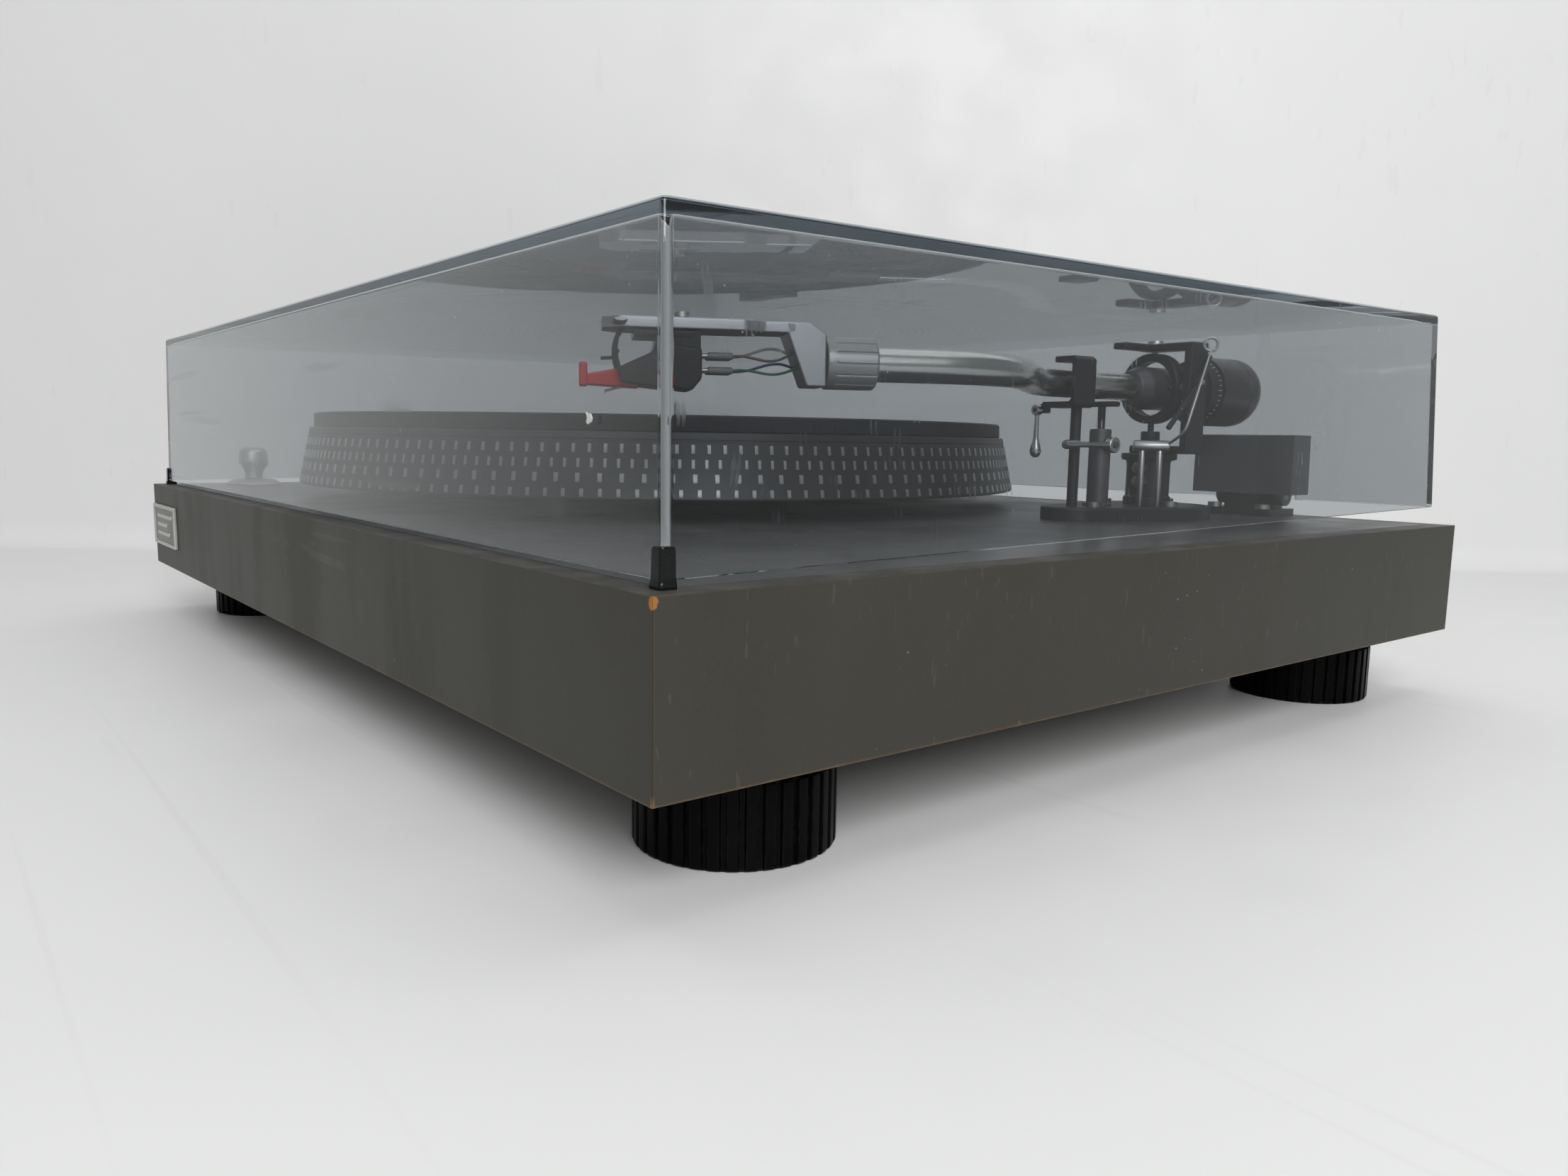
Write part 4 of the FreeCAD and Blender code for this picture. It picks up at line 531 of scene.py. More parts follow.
class Piece:
    """One visible mesh under construction, in millimetres in its own frame."""

    def __init__(self, name: str, place: Matrix = Matrix.Identity(4)) -> None:
        """Starts an empty piece.

        Args:
            name: the object's name.
            place: from the piece's own frame to the model's, in millimetres.
        """
        self.name = name
        self.place = place
        self.curved = False
        self.bm = bmesh.new()

    def box(self, low: tuple, high: tuple, bevel: float = 0.0, segments: int = 2) -> list:
        """A box between two corners, with its edges rounded."""
        centre = (Vector(low) + Vector(high)) / 2
        size = Vector(high) - Vector(low)
        matrix = Matrix.Translation(centre) @ Matrix.Diagonal((*size, 1.0))
        verts = bmesh.ops.create_cube(self.bm, size=1.0, matrix=matrix)["verts"]
        if bevel:
            self.soften({e for v in verts for e in v.link_edges}, bevel, segments)
        return verts

    def soften(self, edges: set, width: float, segments: int = 2) -> None:
        """Rounds edges."""
        bmesh.ops.bevel(self.bm, geom=list(edges), offset=width, offset_type="OFFSET", segments=segments,
                        profile=0.5, affect="EDGES", material=-1, clamp_overlap=True)

    def sharp(self, width: float, segments: int = 2, least_deg: float = 25.0, keep: object = None) -> None:
        """Rounds every edge sharper than an angle, or those of them a test keeps."""
        self.bm.normal_update()
        limit = math.radians(least_deg)
        edges = {e for e in self.bm.edges if len(e.link_faces) == 2 and e.calc_face_angle() > limit
                 and (keep is None or keep(e))}
        self.soften(edges, width, segments)

    def lathe(self, profile: list[Point], steps: int = 64, turn: Matrix = Matrix.Identity(4)) -> None:
        """A closed turned solid about Z from (radius, z) points; both ends reach the axis or meet.

        Args:
            profile: the outline from one end to the other.
            steps: facets round the axis.
            turn: where the turned axis lies in the piece's frame.
        """
        verts = [self.bm.verts.new((r, 0.0, z)) for r, z in profile]
        closed = profile[0][0] > 1e-6 or profile[-1][0] > 1e-6
        pairs = list(zip(verts, verts[1:])) + ([(verts[-1], verts[0])] if closed else [])
        edges = [self.bm.edges.new(pair) for pair in pairs]
        before = set(self.bm.verts) - set(verts)
        bmesh.ops.spin(self.bm, geom=verts + edges, cent=(0, 0, 0), axis=(0, 0, 1), angle=2 * math.pi,
                       steps=steps, use_merge=True, use_duplicate=False)
        made = [v for v in self.bm.verts if v not in before]
        bmesh.ops.remove_doubles(self.bm, verts=made, dist=1e-4)
        made = [v for v in self.bm.verts if v not in before]
        bmesh.ops.transform(self.bm, matrix=turn, verts=made)

    def prism(self, outline: list[Point], low: float, high: float, turn: Matrix = Matrix.Identity(4)) -> list:
        """A straight prism over (x, y) corners."""
        verts = [self.bm.verts.new((x, y, low)) for x, y in outline]
        face = self.bm.faces.new(verts)
        made = bmesh.ops.extrude_face_region(self.bm, geom=[face], use_keep_orig=True)["geom"]
        top = [v for v in made if isinstance(v, bmesh.types.BMVert)]
        bmesh.ops.translate(self.bm, vec=(0, 0, high - low), verts=top)
        bmesh.ops.transform(self.bm, matrix=turn, verts=verts + top)
        return verts + top

    def stack(self, rings: list[list[Vector]], caps: bool) -> None:
        """A closed mesh over rings of points: capped at both ends, or joined end to end.

        Args:
            rings: outlines of equal length, in order along the surface.
            caps: whether the first and last rings are filled; otherwise they are joined to each other.
        """
        rows = [[self.bm.verts.new(point) for point in ring] for ring in rings]
        pairs = list(zip(rows, rows[1:])) + ([] if caps else [(rows[-1], rows[0])])
        for low, high in pairs:
            for index, vert in enumerate(low):
                after = (index + 1) % len(low)
                self.bm.faces.new((vert, low[after], high[after], high[index]))
        if caps:
            self.bm.faces.new(list(reversed(rows[0])))
            self.bm.faces.new(rows[-1])

    def tube(self, path: list[Vector], radius: object, sides: int = 16) -> None:
        """A round bar with closed ends along a path, its section carried without twist.

        Args:
            path: the centre line's points.
            radius: the radius, or one for each point.
            sides: facets round the bar.
        """
        self.curved = True
        radii = radius if isinstance(radius, list) else [radius] * len(path)
        steps = [(b - a).normalized() for a, b in zip(path, path[1:])]
        tangents = [steps[0]] + [(a + b).normalized() for a, b in zip(steps, steps[1:])] + [steps[-1]]
        side = tangents[0].orthogonal().normalized()
        rings = []
        for point, tangent, size in zip(path, tangents, radii):
            side = (side - tangent * side.dot(tangent)).normalized()
            up = tangent.cross(side)
            rings.append([point + (side * math.cos(angle) + up * math.sin(angle)) * size
                          for angle in turns(sides)])
        self.stack(rings, True)

    def rod(self, start: tuple, end: tuple, radius: float, sides: int = 24, edge: float = 0.15) -> None:
        """A straight round bar whose two ends are rounded over."""
        a, b = Vector(start), Vector(end)
        length = (b - a).length
        turn = Matrix.Translation(a) @ (b - a).to_track_quat("Z", "Y").to_matrix().to_4x4()
        edge = min(edge, radius * 0.5, length * 0.4)
        self.lathe([(0, 0), (radius - edge, 0), (radius - edge * 0.3, edge * 0.3), (radius, edge),
                    (radius, length - edge), (radius - edge * 0.3, length - edge * 0.3),
                    (radius - edge, length), (0, length)], sides, turn)

    def finish(self, body: str, material: bpy.types.Material, replaces: tuple = (),
               smooth_deg: float = 35.0) -> bpy.types.Object:
        """Turns the piece into an object at the origin that rides on a body.

        Args:
            body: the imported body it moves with.
            material: its finish.
            replaces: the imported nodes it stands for.
            smooth_deg: edges flatter than this are shaded smooth.

        Returns:
            The finished object.
        """
        bmesh.ops.recalc_face_normals(self.bm, faces=self.bm.faces)
        local = self.bm.verts.layers.float_vector.new("local")
        for vert in self.bm.verts:
            vert[local] = vert.co * MM
        bmesh.ops.transform(self.bm, matrix=Matrix.Scale(MM, 4) @ self.place, verts=self.bm.verts)
        limit = math.radians(smooth_deg)
        for face in self.bm.faces:
            face.smooth = True
        for edge in self.bm.edges:
            edge.smooth = len(edge.link_faces) == 2 and edge.calc_face_angle() < limit
        mesh = bpy.data.meshes.new(self.name)
        self.bm.to_mesh(mesh)
        self.bm.free()
        mesh.materials.append(material)
        made = bpy.data.objects.new(self.name, mesh)
        bpy.context.scene.collection.objects.link(made)
        if not self.curved:
            weigh(made)
        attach(made, body)
        if replaces:
            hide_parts(*replaces)
        LOG.info("%s on %s: %d faces", self.name, body, len(mesh.polygons))
        return made


def along_x(x: float = 0.0, y: float = 0.0, z: float = 0.0) -> Matrix:
    """Turns a lathe's Z axis to run along +X from a point."""
    return Matrix.Translation((x, y, z)) @ Matrix.Rotation(math.radians(90), 4, "Y")


def turns(count: int) -> list[float]:
    """Evenly spaced angles round a circle, in radians."""
    return [2 * math.pi * index / count for index in range(count)]


# ------------------------------------------------------------------ plinth
@dataclass
class Plinth:
    """Four mitred boards wrapped in vinyl, with a badge, a deck and a bottom cover.

    Args:
        width: across the front.
        depth: from front to back.
        low: height of the underside.
        high: height of the top.
        thickness: of a board.
        rebate: how far the deck and the cover sit into the boards.
        rebate_depth: how deep those rebates are.
        edge: rounding of the wrapped edges.
    """

    width: float = 481.0
    depth: float = 356.0
    low: float = 24.5
    high: float = 64.5
    thickness: float = 16.0
    rebate: float = 8.0
    rebate_depth: float = 3.0
    edge: float = 0.45

    def build(self, looks: Finishes) -> None:
        """Builds the boards and the badge, and finishes what lies under them."""
        vinyl = looks.vinyl.build()
        for name, turn in (("front_board", 0), ("right_board", 90), ("rear_board", 180), ("left_board", 270)):
            if name != "rear_board":
                self._board(name, turn, vinyl)
        dress("rear_board", vinyl)
        self._badge(looks)

    def _board(self, name: str, turn: int, vinyl: bpy.types.Material) -> None:
        """One board, built as the front one and turned into place."""
        piece = Piece(name + "_wrap", frame_matrix(Vector((0, 0, 0)), turn))
        along, across = (self.width, self.depth) if turn % 180 == 0 else (self.depth, self.width)
        section = [(0, self.low), (0, self.high), (self.rebate, self.high),
                   (self.rebate, self.high - self.rebate_depth),
                   (self.thickness, self.high - self.rebate_depth),
                   (self.thickness, self.low + self.rebate_depth),
                   (self.rebate, self.low + self.rebate_depth), (self.rebate, self.low)]
        piece.stack([[Vector((side * (along / 2 - d), -across / 2 + d, z)) for d, z in section]
                     for side in (-1, 1)], True)
        bmesh.ops.recalc_face_normals(piece.bm, faces=piece.bm.faces)
        face_y = -across / 2
        outer = {e for e in piece.bm.edges if all(abs(v.co.y - face_y) < 1e-4 for v in e.verts)}
        piece.soften(outer, self.edge, 3)
        piece.finish("plinth", vinyl, (name,), 30.0)

    def _badge(self, looks: Finishes) -> None:
        """A plain plate with a raised rim round a darker field and three embossed bars."""
        left, low, long, tall = -self.width / 2 + 5.0, self.low + 10.5, 50.0, 20.0
        face = -self.depth / 2
        rim = Piece("badge_rim")
        outer = [(left, low), (left + long, low), (left + long, low + tall), (left, low + tall)]
        inset = 1.7
        inner = [(left + inset, low + inset), (left + long - inset, low + inset),
                 (left + long - inset, low + tall - inset), (left + inset, low + tall - inset)]
        front = face - 1.6
        rim.stack([[Vector((x, y, z)) for x, z in ring]
                   for ring, y in ((outer, face), (outer, front), (inner, front), (inner, face))], False)
        bmesh.ops.recalc_face_normals(rim.bm, faces=rim.bm.faces)
        rim.sharp(0.35, 3)
        rim.finish("plinth", looks.badge.build(), ("badge_plate",))
        field_plate = Piece("badge_field")
        field_plate.box((left + inset - 0.3, face - 0.9, low + inset - 0.3),
                        (left + long - inset + 0.3, face - 0.05, low + tall - inset + 0.3))
        field_plate.finish("plinth", looks.badge_field.build())
        bars = Piece("badge_bars")
        for index, span in enumerate((34.0, 22.0, 28.0)):
            z = low + 13.6 - 4.3 * index
            bars.box((left + 8, face - 1.25, z), (left + 8 + span, face - 0.85, z + 1.7), 0.15, 2)
        bars.finish("plinth", looks.badge.build())


@dataclass
class Foot:
    """A screw-down foot: a drum with broad upright ribs, all alike, and a smooth upper ring."""

    name: str
    x: float
    y: float
    radius: float = 24.0
    groove: float = 1.05
    ribs: int = 36
    rib_top: float = 20.0
    height: float = 23.7

    def build(self, looks: Finishes) -> None:
        """Builds the foot as one closed mesh: ring after ring up the drum."""
        piece = Piece(self.name + "_ribbed", Matrix.Translation((self.x, self.y, 0)))
        outline = self._outline()
        levels = [(0.0, 0.955, 0.0), (0.35, 0.985, 0.35), (1.1, 1.0, 1.0), (self.rib_top - 0.8, 1.0, 1.0),
                  (self.rib_top - 0.25, 0.992, 0.8), (self.rib_top, 0.978, 0.15), (self.rib_top, 0.935, 0.0),
                  (self.height - 0.5, 0.935, 0.0), (self.height, 0.915, 0.0)]
        rings = [[Vector(((self.radius - depth * share) * scale * math.cos(angle),
                          (self.radius - depth * share) * scale * math.sin(angle), z))
                  for depth, angle in outline]
                 for z, scale, share in levels]
        piece.stack(rings, True)
        piece.finish(self.name, looks.foot.build(), (self.name,), 42.0)

    def _outline(self) -> list[Point]:
        """(groove depth, angle) round the drum: flat ribs, rounded shoulders, flat grooves."""
        found = []
        pitch = 2 * math.pi / self.ribs
        for index in range(self.ribs):
            start = index * pitch
            for share, depth in ((0.00, 0.0), (0.10, 0.0), (0.50, 0.0), (0.585, 0.12), (0.63, 0.55),
                                 (0.66, self.groove), (0.92, self.groove), (0.95, 0.55), (0.985, 0.12)):
                found.append((depth, start + share * pitch))
        return found


# ------------------------------------------------------------------ platter
@dataclass
class Platter:
    """The platter with its dotted edge band, grooved rubber mat and record pin.

    Args:
        x: spindle's place.
        y: spindle's place.
        low: height of the skirt.
        high: height of the plate's top.
        low_radius: of the skirt's lower edge.
        high_radius: of the plate's upper edge.
        bore: radius inside the skirt.
        hole: radius of the hole round the spindle.
        plate_low: height of the plate's underside.
        rows: for each row of dots, its height, how many, and a dot's width and height.
        mat_radius: of the rubber mat.
        mat_high: height of the mat's lip.
        pin: radius of the record pin.
        pin_high: height of the pin's tip.
    """

    x: float = -32.0
    y: float = 1.0
    low: float = 71.9
    high: float = 94.5
    low_radius: float = 156.4
    high_radius: float = 151.7
    bore: float = 146.0
    hole: float = 3.9
    plate_low: float = 89.5
    rows: tuple = ((88.9, 180, 1.35, 3.3), (84.0, 216, 1.2, 3.3), (79.2, 133, 1.7, 3.3),
                   (74.3, 160, 1.5, 2.9))
    mat_radius: float = 150.0
    mat_high: float = 100.3
    pin: float = 3.6
    pin_high: float = 111.3

    def build(self, looks: Finishes) -> None:
        """Builds the turned plate, the dots, the mat and the pin."""
        place = Matrix.Translation((self.x, self.y, 0))
        plate = Piece("platter_plate", place)
        plate.lathe([(self.hole, self.plate_low), (self.bore - 1.5, self.plate_low),
                     (self.bore, self.plate_low - 1.5), (self.bore, self.low + 0.3),
                     (self.bore + 0.3, self.low), (self.low_radius - 0.7, self.low),
                     (self.low_radius - 0.2, self.low + 0.15), (self.low_radius, self.low + 0.6),
                     (self._edge(73.0), 73.0), (self._edge(91.2), 91.2), (self._edge(91.4) - 0.3, 91.5),
                     (self._edge(91.9) - 0.3, 91.9), (self._edge(92.1), 92.1),
                     (self.high_radius, self.high - 0.5), (self.high_radius - 0.2, self.high - 0.15),
                     (self.high_radius - 0.6, self.high), (self.hole, self.high)], 320)
        plate.finish("platter", looks.band.build(), ("platter",), 30.0)
        self._dots(place, looks)
        self._mat(place, looks)
        pin = Piece("record_pin", place)
        pin.lathe([(0, 30.0), (2.4, 30.5), (self.hole, 32.0), (self.hole, 98.6), (self.pin, 98.7),
                   (self.pin, 108.0),
                   (self.pin - 0.25, 108.7), (self.pin - 1.1, 110.4), (self.pin - 2.0, 111.05),
                   (self.pin - 3.0, self.pin_high), (0, self.pin_high)], 48)
        pin.finish("platter", looks.steel.build(), ("spindle",), 50.0)
        dress("sub_platter", looks.casting.build())

    def _edge(self, z: float) -> float:
        """The band's radius at a height."""
        share = (z - self.low - 0.5) / (self.high - self.low - 0.9)
        return self.low_radius + (self.high_radius - self.low_radius) * share

    def _dots(self, place: Matrix, looks: Finishes) -> None:
        """Small bright bosses standing a little proud of the band."""
        piece = Piece("platter_dots", place)
        lean = math.atan2(self.low_radius - self.high_radius, self.high - self.low)
        for height, count, width, tall in self.rows:
            for angle in turns(count):
                spot = (Matrix.Rotation(angle, 4, "Z")
                        @ Matrix.Translation((self._edge(height) + 0.02, 0, height))
                        @ Matrix.Rotation(-lean, 4, "Y") @ Matrix.Diagonal((0.36, width, tall, 1.0)))
                verts = bmesh.ops.create_cube(piece.bm, size=1.0, matrix=spot)["verts"]
                out = spot.to_3x3() @ Vector((1, 0, 0))
                middle = spot.translation
                front = [v for v in verts if (v.co - middle).dot(out) > 0]
                centre = sum((v.co for v in front), Vector()) / len(front)
                for vert in front:
                    vert.co = centre + (vert.co - centre) * 0.84
        piece.finish("platter", looks.dots.build(), (), 60.0)

    def _mat(self, place: Matrix, looks: Finishes) -> None:
        """The rubber mat: a raised lip, fine rings, and a sunk middle for the label."""
        piece = Piece("grooved_mat", place)
        top = self.mat_high
        profile = [(self.hole, self.high), (self.mat_radius - 0.4, self.high),
                   (self.mat_radius, self.high + 0.4),
                   (self.mat_radius, top - 0.9), (self.mat_radius - 0.25, top - 0.35),
                   (self.mat_radius - 0.9, top), (self.mat_radius - 3.6, top),
                   (self.mat_radius - 4.1, top - 0.3), (self.mat_radius - 4.8, top - 0.8)]
        radius = self.mat_radius - 6.5
        while radius > 54.0:
            profile += [(radius, top - 0.8), (radius - 0.35, top - 1.35), (radius - 1.15, top - 1.35),
                        (radius - 1.5, top - 0.8)]
            radius -= 3.2 if int(radius / 3.2) % 8 else 7.0
        profile += [(50.8, top - 0.8), (50.3, top - 1.1), (50.0, top - 1.6), (self.hole, top - 1.6)]
        piece.lathe(profile, 240)
        piece.finish("platter", looks.mat.build(), ("platter_mat",), 28.0)


# ------------------------------------------------------------------ selector
@dataclass
class Selector:
    """The speed selector: a domed escutcheon and a flared knob with a pointer."""

    x: float = -213.0
    y: float = -134.0
    deck: float = 64.5

    def build(self, looks: Finishes) -> None:
        """Builds both turned pieces, the pointer and three printed marks."""
        place = Matrix.Translation((self.x, self.y, self.deck))
        base = Piece("selector_ring", place)
        base.lathe([(4.0, 0), (12.8, 0), (13.0, 0.3), (13.0, 0.8), (12.7, 1.15), (11.6, 1.9), (9.9, 2.8),
                    (9.3, 3.0), (4.0, 3.0)], 96)
        base.finish("plinth", looks.satin.build(), ("speed_escutcheon",), 40.0)
        knob = Piece("selector_knob", place)
        low = 3.4
        knob.lathe([(0, low), (3.9, low), (4.2, low + 0.3), (4.15, low + 2.6), (4.5, low + 3.9),
                    (6.7, low + 7.4),
                    (7.0, low + 8.1), (6.95, low + 9.5), (6.6, low + 13.3), (6.2, low + 14.4),
                    (5.2, low + 15.3), (3.0, low + 15.85), (0, low + 16.0)], 64)
        knob.box((0, -1.15, low + 6.6), (8.5, 1.15, low + 10.9), 0.35, 2)
        knob.finish("speed_knob", looks.satin.build(), ("speed_knob",), 38.0)
        marks = Piece("selector_marks", place)
        for turn in (-45, 0, 45):
            spot = Matrix.Rotation(math.radians(turn), 4, "Z") @ Matrix.Translation((16.5, 0, 0.03))
            bmesh.ops.create_cube(marks.bm, size=1.0, matrix=spot @ Matrix.Diagonal((3.0, 0.7, 0.06, 1.0)))
        marks.finish("plinth", looks.ink.build())


# ------------------------------------------------------------------ tonearm
class ArmFrames:
    """The tonearm's frames: X forward along the arm, and X forward along the headshell."""

    turn_deg = -94.74
    offset_deg = 23.3
    length = 231.2
    reach = 60.0
    pivot = Vector((153.5, 104.5, 114.5))
    arm = frame_matrix(pivot, turn_deg)
    offset = math.radians(offset_deg)
    front = Vector((length - reach * math.cos(offset), reach * math.sin(offset), 0))
    shell = arm @ frame_matrix(front, -offset_deg)
    axis = Vector((math.cos(offset), -math.sin(offset), 0))


@dataclass
class ArmBase:
    """What stands on the deck: base plate, pillar, bridge, cueing lift, rest and bias parts.

    Args:
        deck: the deck's height in the arm's frame.
        plate: thickness of the base plate.
    """

    deck: float = -50.0
    plate: float = 5.0

    def build(self, looks: Finishes) -> None:
        """Builds each fixed or moving part round the arm's pivot."""
        self._plate(looks)
        self._pillar(looks)
        self._bridge(looks)
        self._lift(looks)
        self._rest(looks)
        self._bias(looks)

    def _plate(self, looks: Finishes) -> None:
        """The teardrop base plate with a rounded upper edge."""
        wide, nose, far = 24.0, 12.0, 42.0
        lean = math.acos((wide - nose) / far)
        outline = []
        for step in range(33):
            angle = lean + (2 * math.pi - 2 * lean) * step / 32
            outline.append((wide * math.cos(angle), wide * math.sin(angle)))
        for step in range(17):
            angle = -lean + 2 * lean * step / 16
            outline.append((far + nose * math.cos(angle), nose * math.sin(angle)))
        piece = Piece("arm_base_plate", ArmFrames.arm)
        piece.prism(outline, self.deck, self.deck + self.plate)
        piece.bm.normal_update()
        top = {e for e in piece.bm.edges if all(v.co.z > self.deck + self.plate - 0.01 for v in e.verts)}
        piece.soften(top, 0.9, 4)
        piece.finish("plinth", looks.arm_black.build(), ("arm_base",), 40.0)

    def _pillar(self, looks: Finishes) -> None:
        """The pillar, with a collar at each end and two bright clamping buttons."""
        piece = Piece("arm_post", ArmFrames.arm)
        floor, high = self.deck + self.plate, -25.0
        piece.lathe([(0, self.deck - 8.5), (7.4, self.deck - 8.5), (7.4, self.deck + 0.2),
                     (9.0, self.deck + 0.3),
                     (9.0, floor + 2.6), (8.7, floor + 3.1), (8.2, floor + 3.5), (8.2, high - 3.6),
                     (8.5, high - 3.0), (10.1, high - 2.5), (10.5, high - 2.1), (10.5, high - 0.4),
                     (10.1, high), (0, high)], 64)
        piece.finish("plinth", looks.arm_black.build(), ("arm_pillar",), 35.0)
        buttons = Piece("arm_clamp_buttons", ArmFrames.arm)
        for z in (-36.0, -30.7):
            buttons.rod((6.0, 2.4, z), (11.0, 3.5, z), 2.45, 28, 0.5)
        buttons.finish("plinth", looks.polished.build(), (), 40.0)

    def _bridge(self, looks: Finishes) -> None:
        """The fixed bridge round the gimbal with its two pivot cups."""
        piece = Piece("arm_bridge_frame", ArmFrames.arm)
        piece.box((-5, 17.0, -25.0), (5, 20.5, 16.8), 0.7, 3)
        piece.box((-5, -6, -25.0), (5, 17.6, -22.0), 0.7, 3)
        piece.box((-4.9, -4, 14.2), (4.9, 17.6, 16.8), 0.7, 3)
        piece.box((1.0, -3.2, 14.2), (21.0, 3.2, 16.7), 0.8, 3)
        piece.lathe([(0, -24.0), (3.6, -24.0), (3.6, -17.0), (3.3, -16.5), (1.2, -16.5), (1.2, -12.5),
                     (0, -12.5)], 32)
        piece.finish("plinth", looks.arm_black.build(), ("arm_bridge",), 40.0)
        cups = Piece("arm_bridge_screws", ArmFrames.arm)
        cups.lathe([(0, 12.5), (1.15, 12.5), (1.15, 16.7), (2.8, 16.7), (3.0, 16.9), (3.0, 18.0), (2.7, 18.4),
                    (0.9, 18.4), (0.7, 17.9), (0, 17.9)], 32)
        cups.rod((1.0, 19.8, 2.0), (1.0, 23.1, 2.0), 1.15, 20)
        cups.finish("plinth", looks.steel.build(), (), 40.0)

    def _lift(self, looks: Finishes) -> None:
        """The cueing lift: guide, bar with a soft top, and lever."""
        x, lever_high = 29.0, -22.0
        guide = Piece("lift_post", ArmFrames.arm)
        guide.lathe([(0, -45.0), (5.4, -45.0), (5.4, -44.2), (5.1, -43.9), (4.0, -43.8), (4.0, -16.6),
                     (3.7, -16.1), (1.6, -16.0), (1.6, -42.0), (0, -42.0)], 40, Matrix.Translation((x, 0, 0)))
        guide.rod((x, 3.6, lever_high), (x, 8.0, lever_high), 1.15, 20)
        guide.finish("plinth", looks.gunmetal.build(), ("lift_guide",), 35.0)
        bar = Piece("lift_bar", ArmFrames.arm)
        bar.rod((x, 0, -36.9), (x, 0, -7.0), 1.45, 20)
        bar.box((x - 2.2, -24.0, -7.8), (x + 2.2, 7.0, -5.8), 0.75, 3)
        bar.finish("lift_platform", looks.black.build(), ("lift_platform",), 40.0)
        lever = Piece("lift_handle", ArmFrames.arm)
        y = 5.9
        lever.lathe([(1.25, -1.5), (2.7, -1.5), (3.0, -1.2), (3.0, 1.2), (2.7, 1.5), (1.25, 1.5)], 32,
                    Matrix.Translation((x, y, lever_high)) @ Matrix.Rotation(math.radians(90), 4, "X"))
        lever.rod((x + 2.6, y, lever_high), (x + 20, y, lever_high), 1.05, 20)
        lever.rod((x + 18.6, y, lever_high), (x + 26, y, lever_high), 1.7, 24, 0.6)
        lever.finish("lift_lever", looks.steel.build(), ("lift_lever",), 35.0)

    def _rest(self, looks: Finishes) -> None:
        """The forked rest on its post, and the hanging latch."""
        rear, front = 43.0, 54.0
        low, high, wall, out = -6.5, 7.6, 2.2, 6.6
        piece = Piece("rest_clip", ArmFrames.arm)
        section = [(-7.0, low - wall), (out + wall - 1.4, low - wall), (out + wall, low - wall + 1.4),
                   (out + wall, high + wall - 1.4), (out + wall - 1.4, high + wall), (-1.5, high + wall),
                   (-1.5, high), (out - 0.9, high), (out, high - 0.9), (out, low + 0.9), (out - 0.9, low),
                   (-7.0, low)]
        turn = Matrix(((0, 0, 1, 0), (1, 0, 0, 0), (0, 1, 0, 0), (0, 0, 0, 1)))
        piece.prism(section, rear, front, turn)
        piece.sharp(0.5, 2)
        piece.box((front - 3, -8.4, low - 4.2), (front, -5.0, low - 0.8), 0.4, 2)
        piece.rod((rear + 0.5, 0.5, -45.0), (rear + 0.5, 0.5, low - 1.0), 2.0, 24)
        piece.rod((front - 0.5, -7.2, low - 3.0), (front + 3.4, -7.2, low - 3.0), 0.75, 16)
        piece.finish("plinth", looks.arm_black.build(), ("arm_rest",), 40.0)
        latch = Piece("rest_latch_drop", ArmFrames.arm)
        x, y, z = front + 1.9, -7.2, low - 3.0
        latch.lathe([(0.85, -1.2), (1.8, -1.2), (2.0, -1.0), (2.0, 1.0), (1.8, 1.2), (0.85, 1.2)], 28,
                    along_x(x, y, z))
        latch.lathe([(0, -17.6), (0.9, -17.4), (1.7, -16.7), (2.1, -15.5), (1.9, -13.9), (1.3, -12.0),
                     (0.9, -10.0), (0.8, -1.6), (0, -1.6)], 28, Matrix.Translation((x, y, z)))
        latch.finish("rest_latch", looks.polished.build(), ("rest_latch",), 45.0)

    def _bias(self, looks: Finishes) -> None:
        """The bias wire on its bracket, and the slanting bias lever."""
        lean = math.radians(135.0)
        spot = Vector((15.0, 12.5, 0))
        step = Vector((math.cos(lean), math.sin(lean), 0))
        piece = Piece("bias_bracket", ArmFrames.arm)
        bar_z = -22.1
        ends = [spot + step * d + Vector((0, 0, bar_z)) for d in (-6.5, 6.5)]
        piece.rod(ends[0], ends[1], 2.1, 24, 0.4)
        for d in (-3.2, 3.2):
            leg = spot + step * d
            piece.rod(leg + Vector((0, 0, -45.0)), leg + Vector((0, 0, bar_z)), 1.1, 16)
        foot = spot + step * 5.0 + Vector((0, 0, bar_z))
        knee, top = Vector((13.0, 25.5, -17.0)), Vector((3.0, 27.0, 13.0))
        path = [foot, foot.lerp(knee, 0.6)]
        for share in (0.0, 0.25, 0.5, 0.75, 1.0):
            first, second = foot.lerp(knee, 0.7 + 0.3 * share), knee.lerp(top, 0.14 * share)
            path.append(first.lerp(second, share))
        path.append(knee.lerp(top, 0.3))
        centre = top + Vector((0, 0, 2.4))
        plane = Vector((1, -1, 0)).normalized()
        for index in range(27):
            angle = -math.pi / 2 + 2 * math.pi * index / 27
            path.append(centre + plane * 2.4 * math.cos(angle) + Vector((0, 0, 2.4 * math.sin(angle))))
        piece.tube(path, 0.55, 12)
        piece.finish("plinth", looks.steel.build(), ("bias_guide",), 50.0)
        lever = Piece("bias_arm", ArmFrames.arm)
        x, y, z = 1.0, 21.9, 2.0
        lever.lathe([(1.25, -1.0), (2.7, -1.0), (3.0, -0.8), (3.0, 0.8), (2.7, 1.0), (1.25, 1.0)], 32,
                    Matrix.Translation((x, y, z)) @ Matrix.Rotation(math.radians(90), 4, "X"))
        for dx, dz in ((17.1, -17.64), (-4.68, 9.9)):
            along = Vector((dx, 0, dz)).normalized() * 2.2
            lever.rod(Vector((x, y, z)) + along, (x + dx, y, z + dz), 1.0, 20, 0.4)
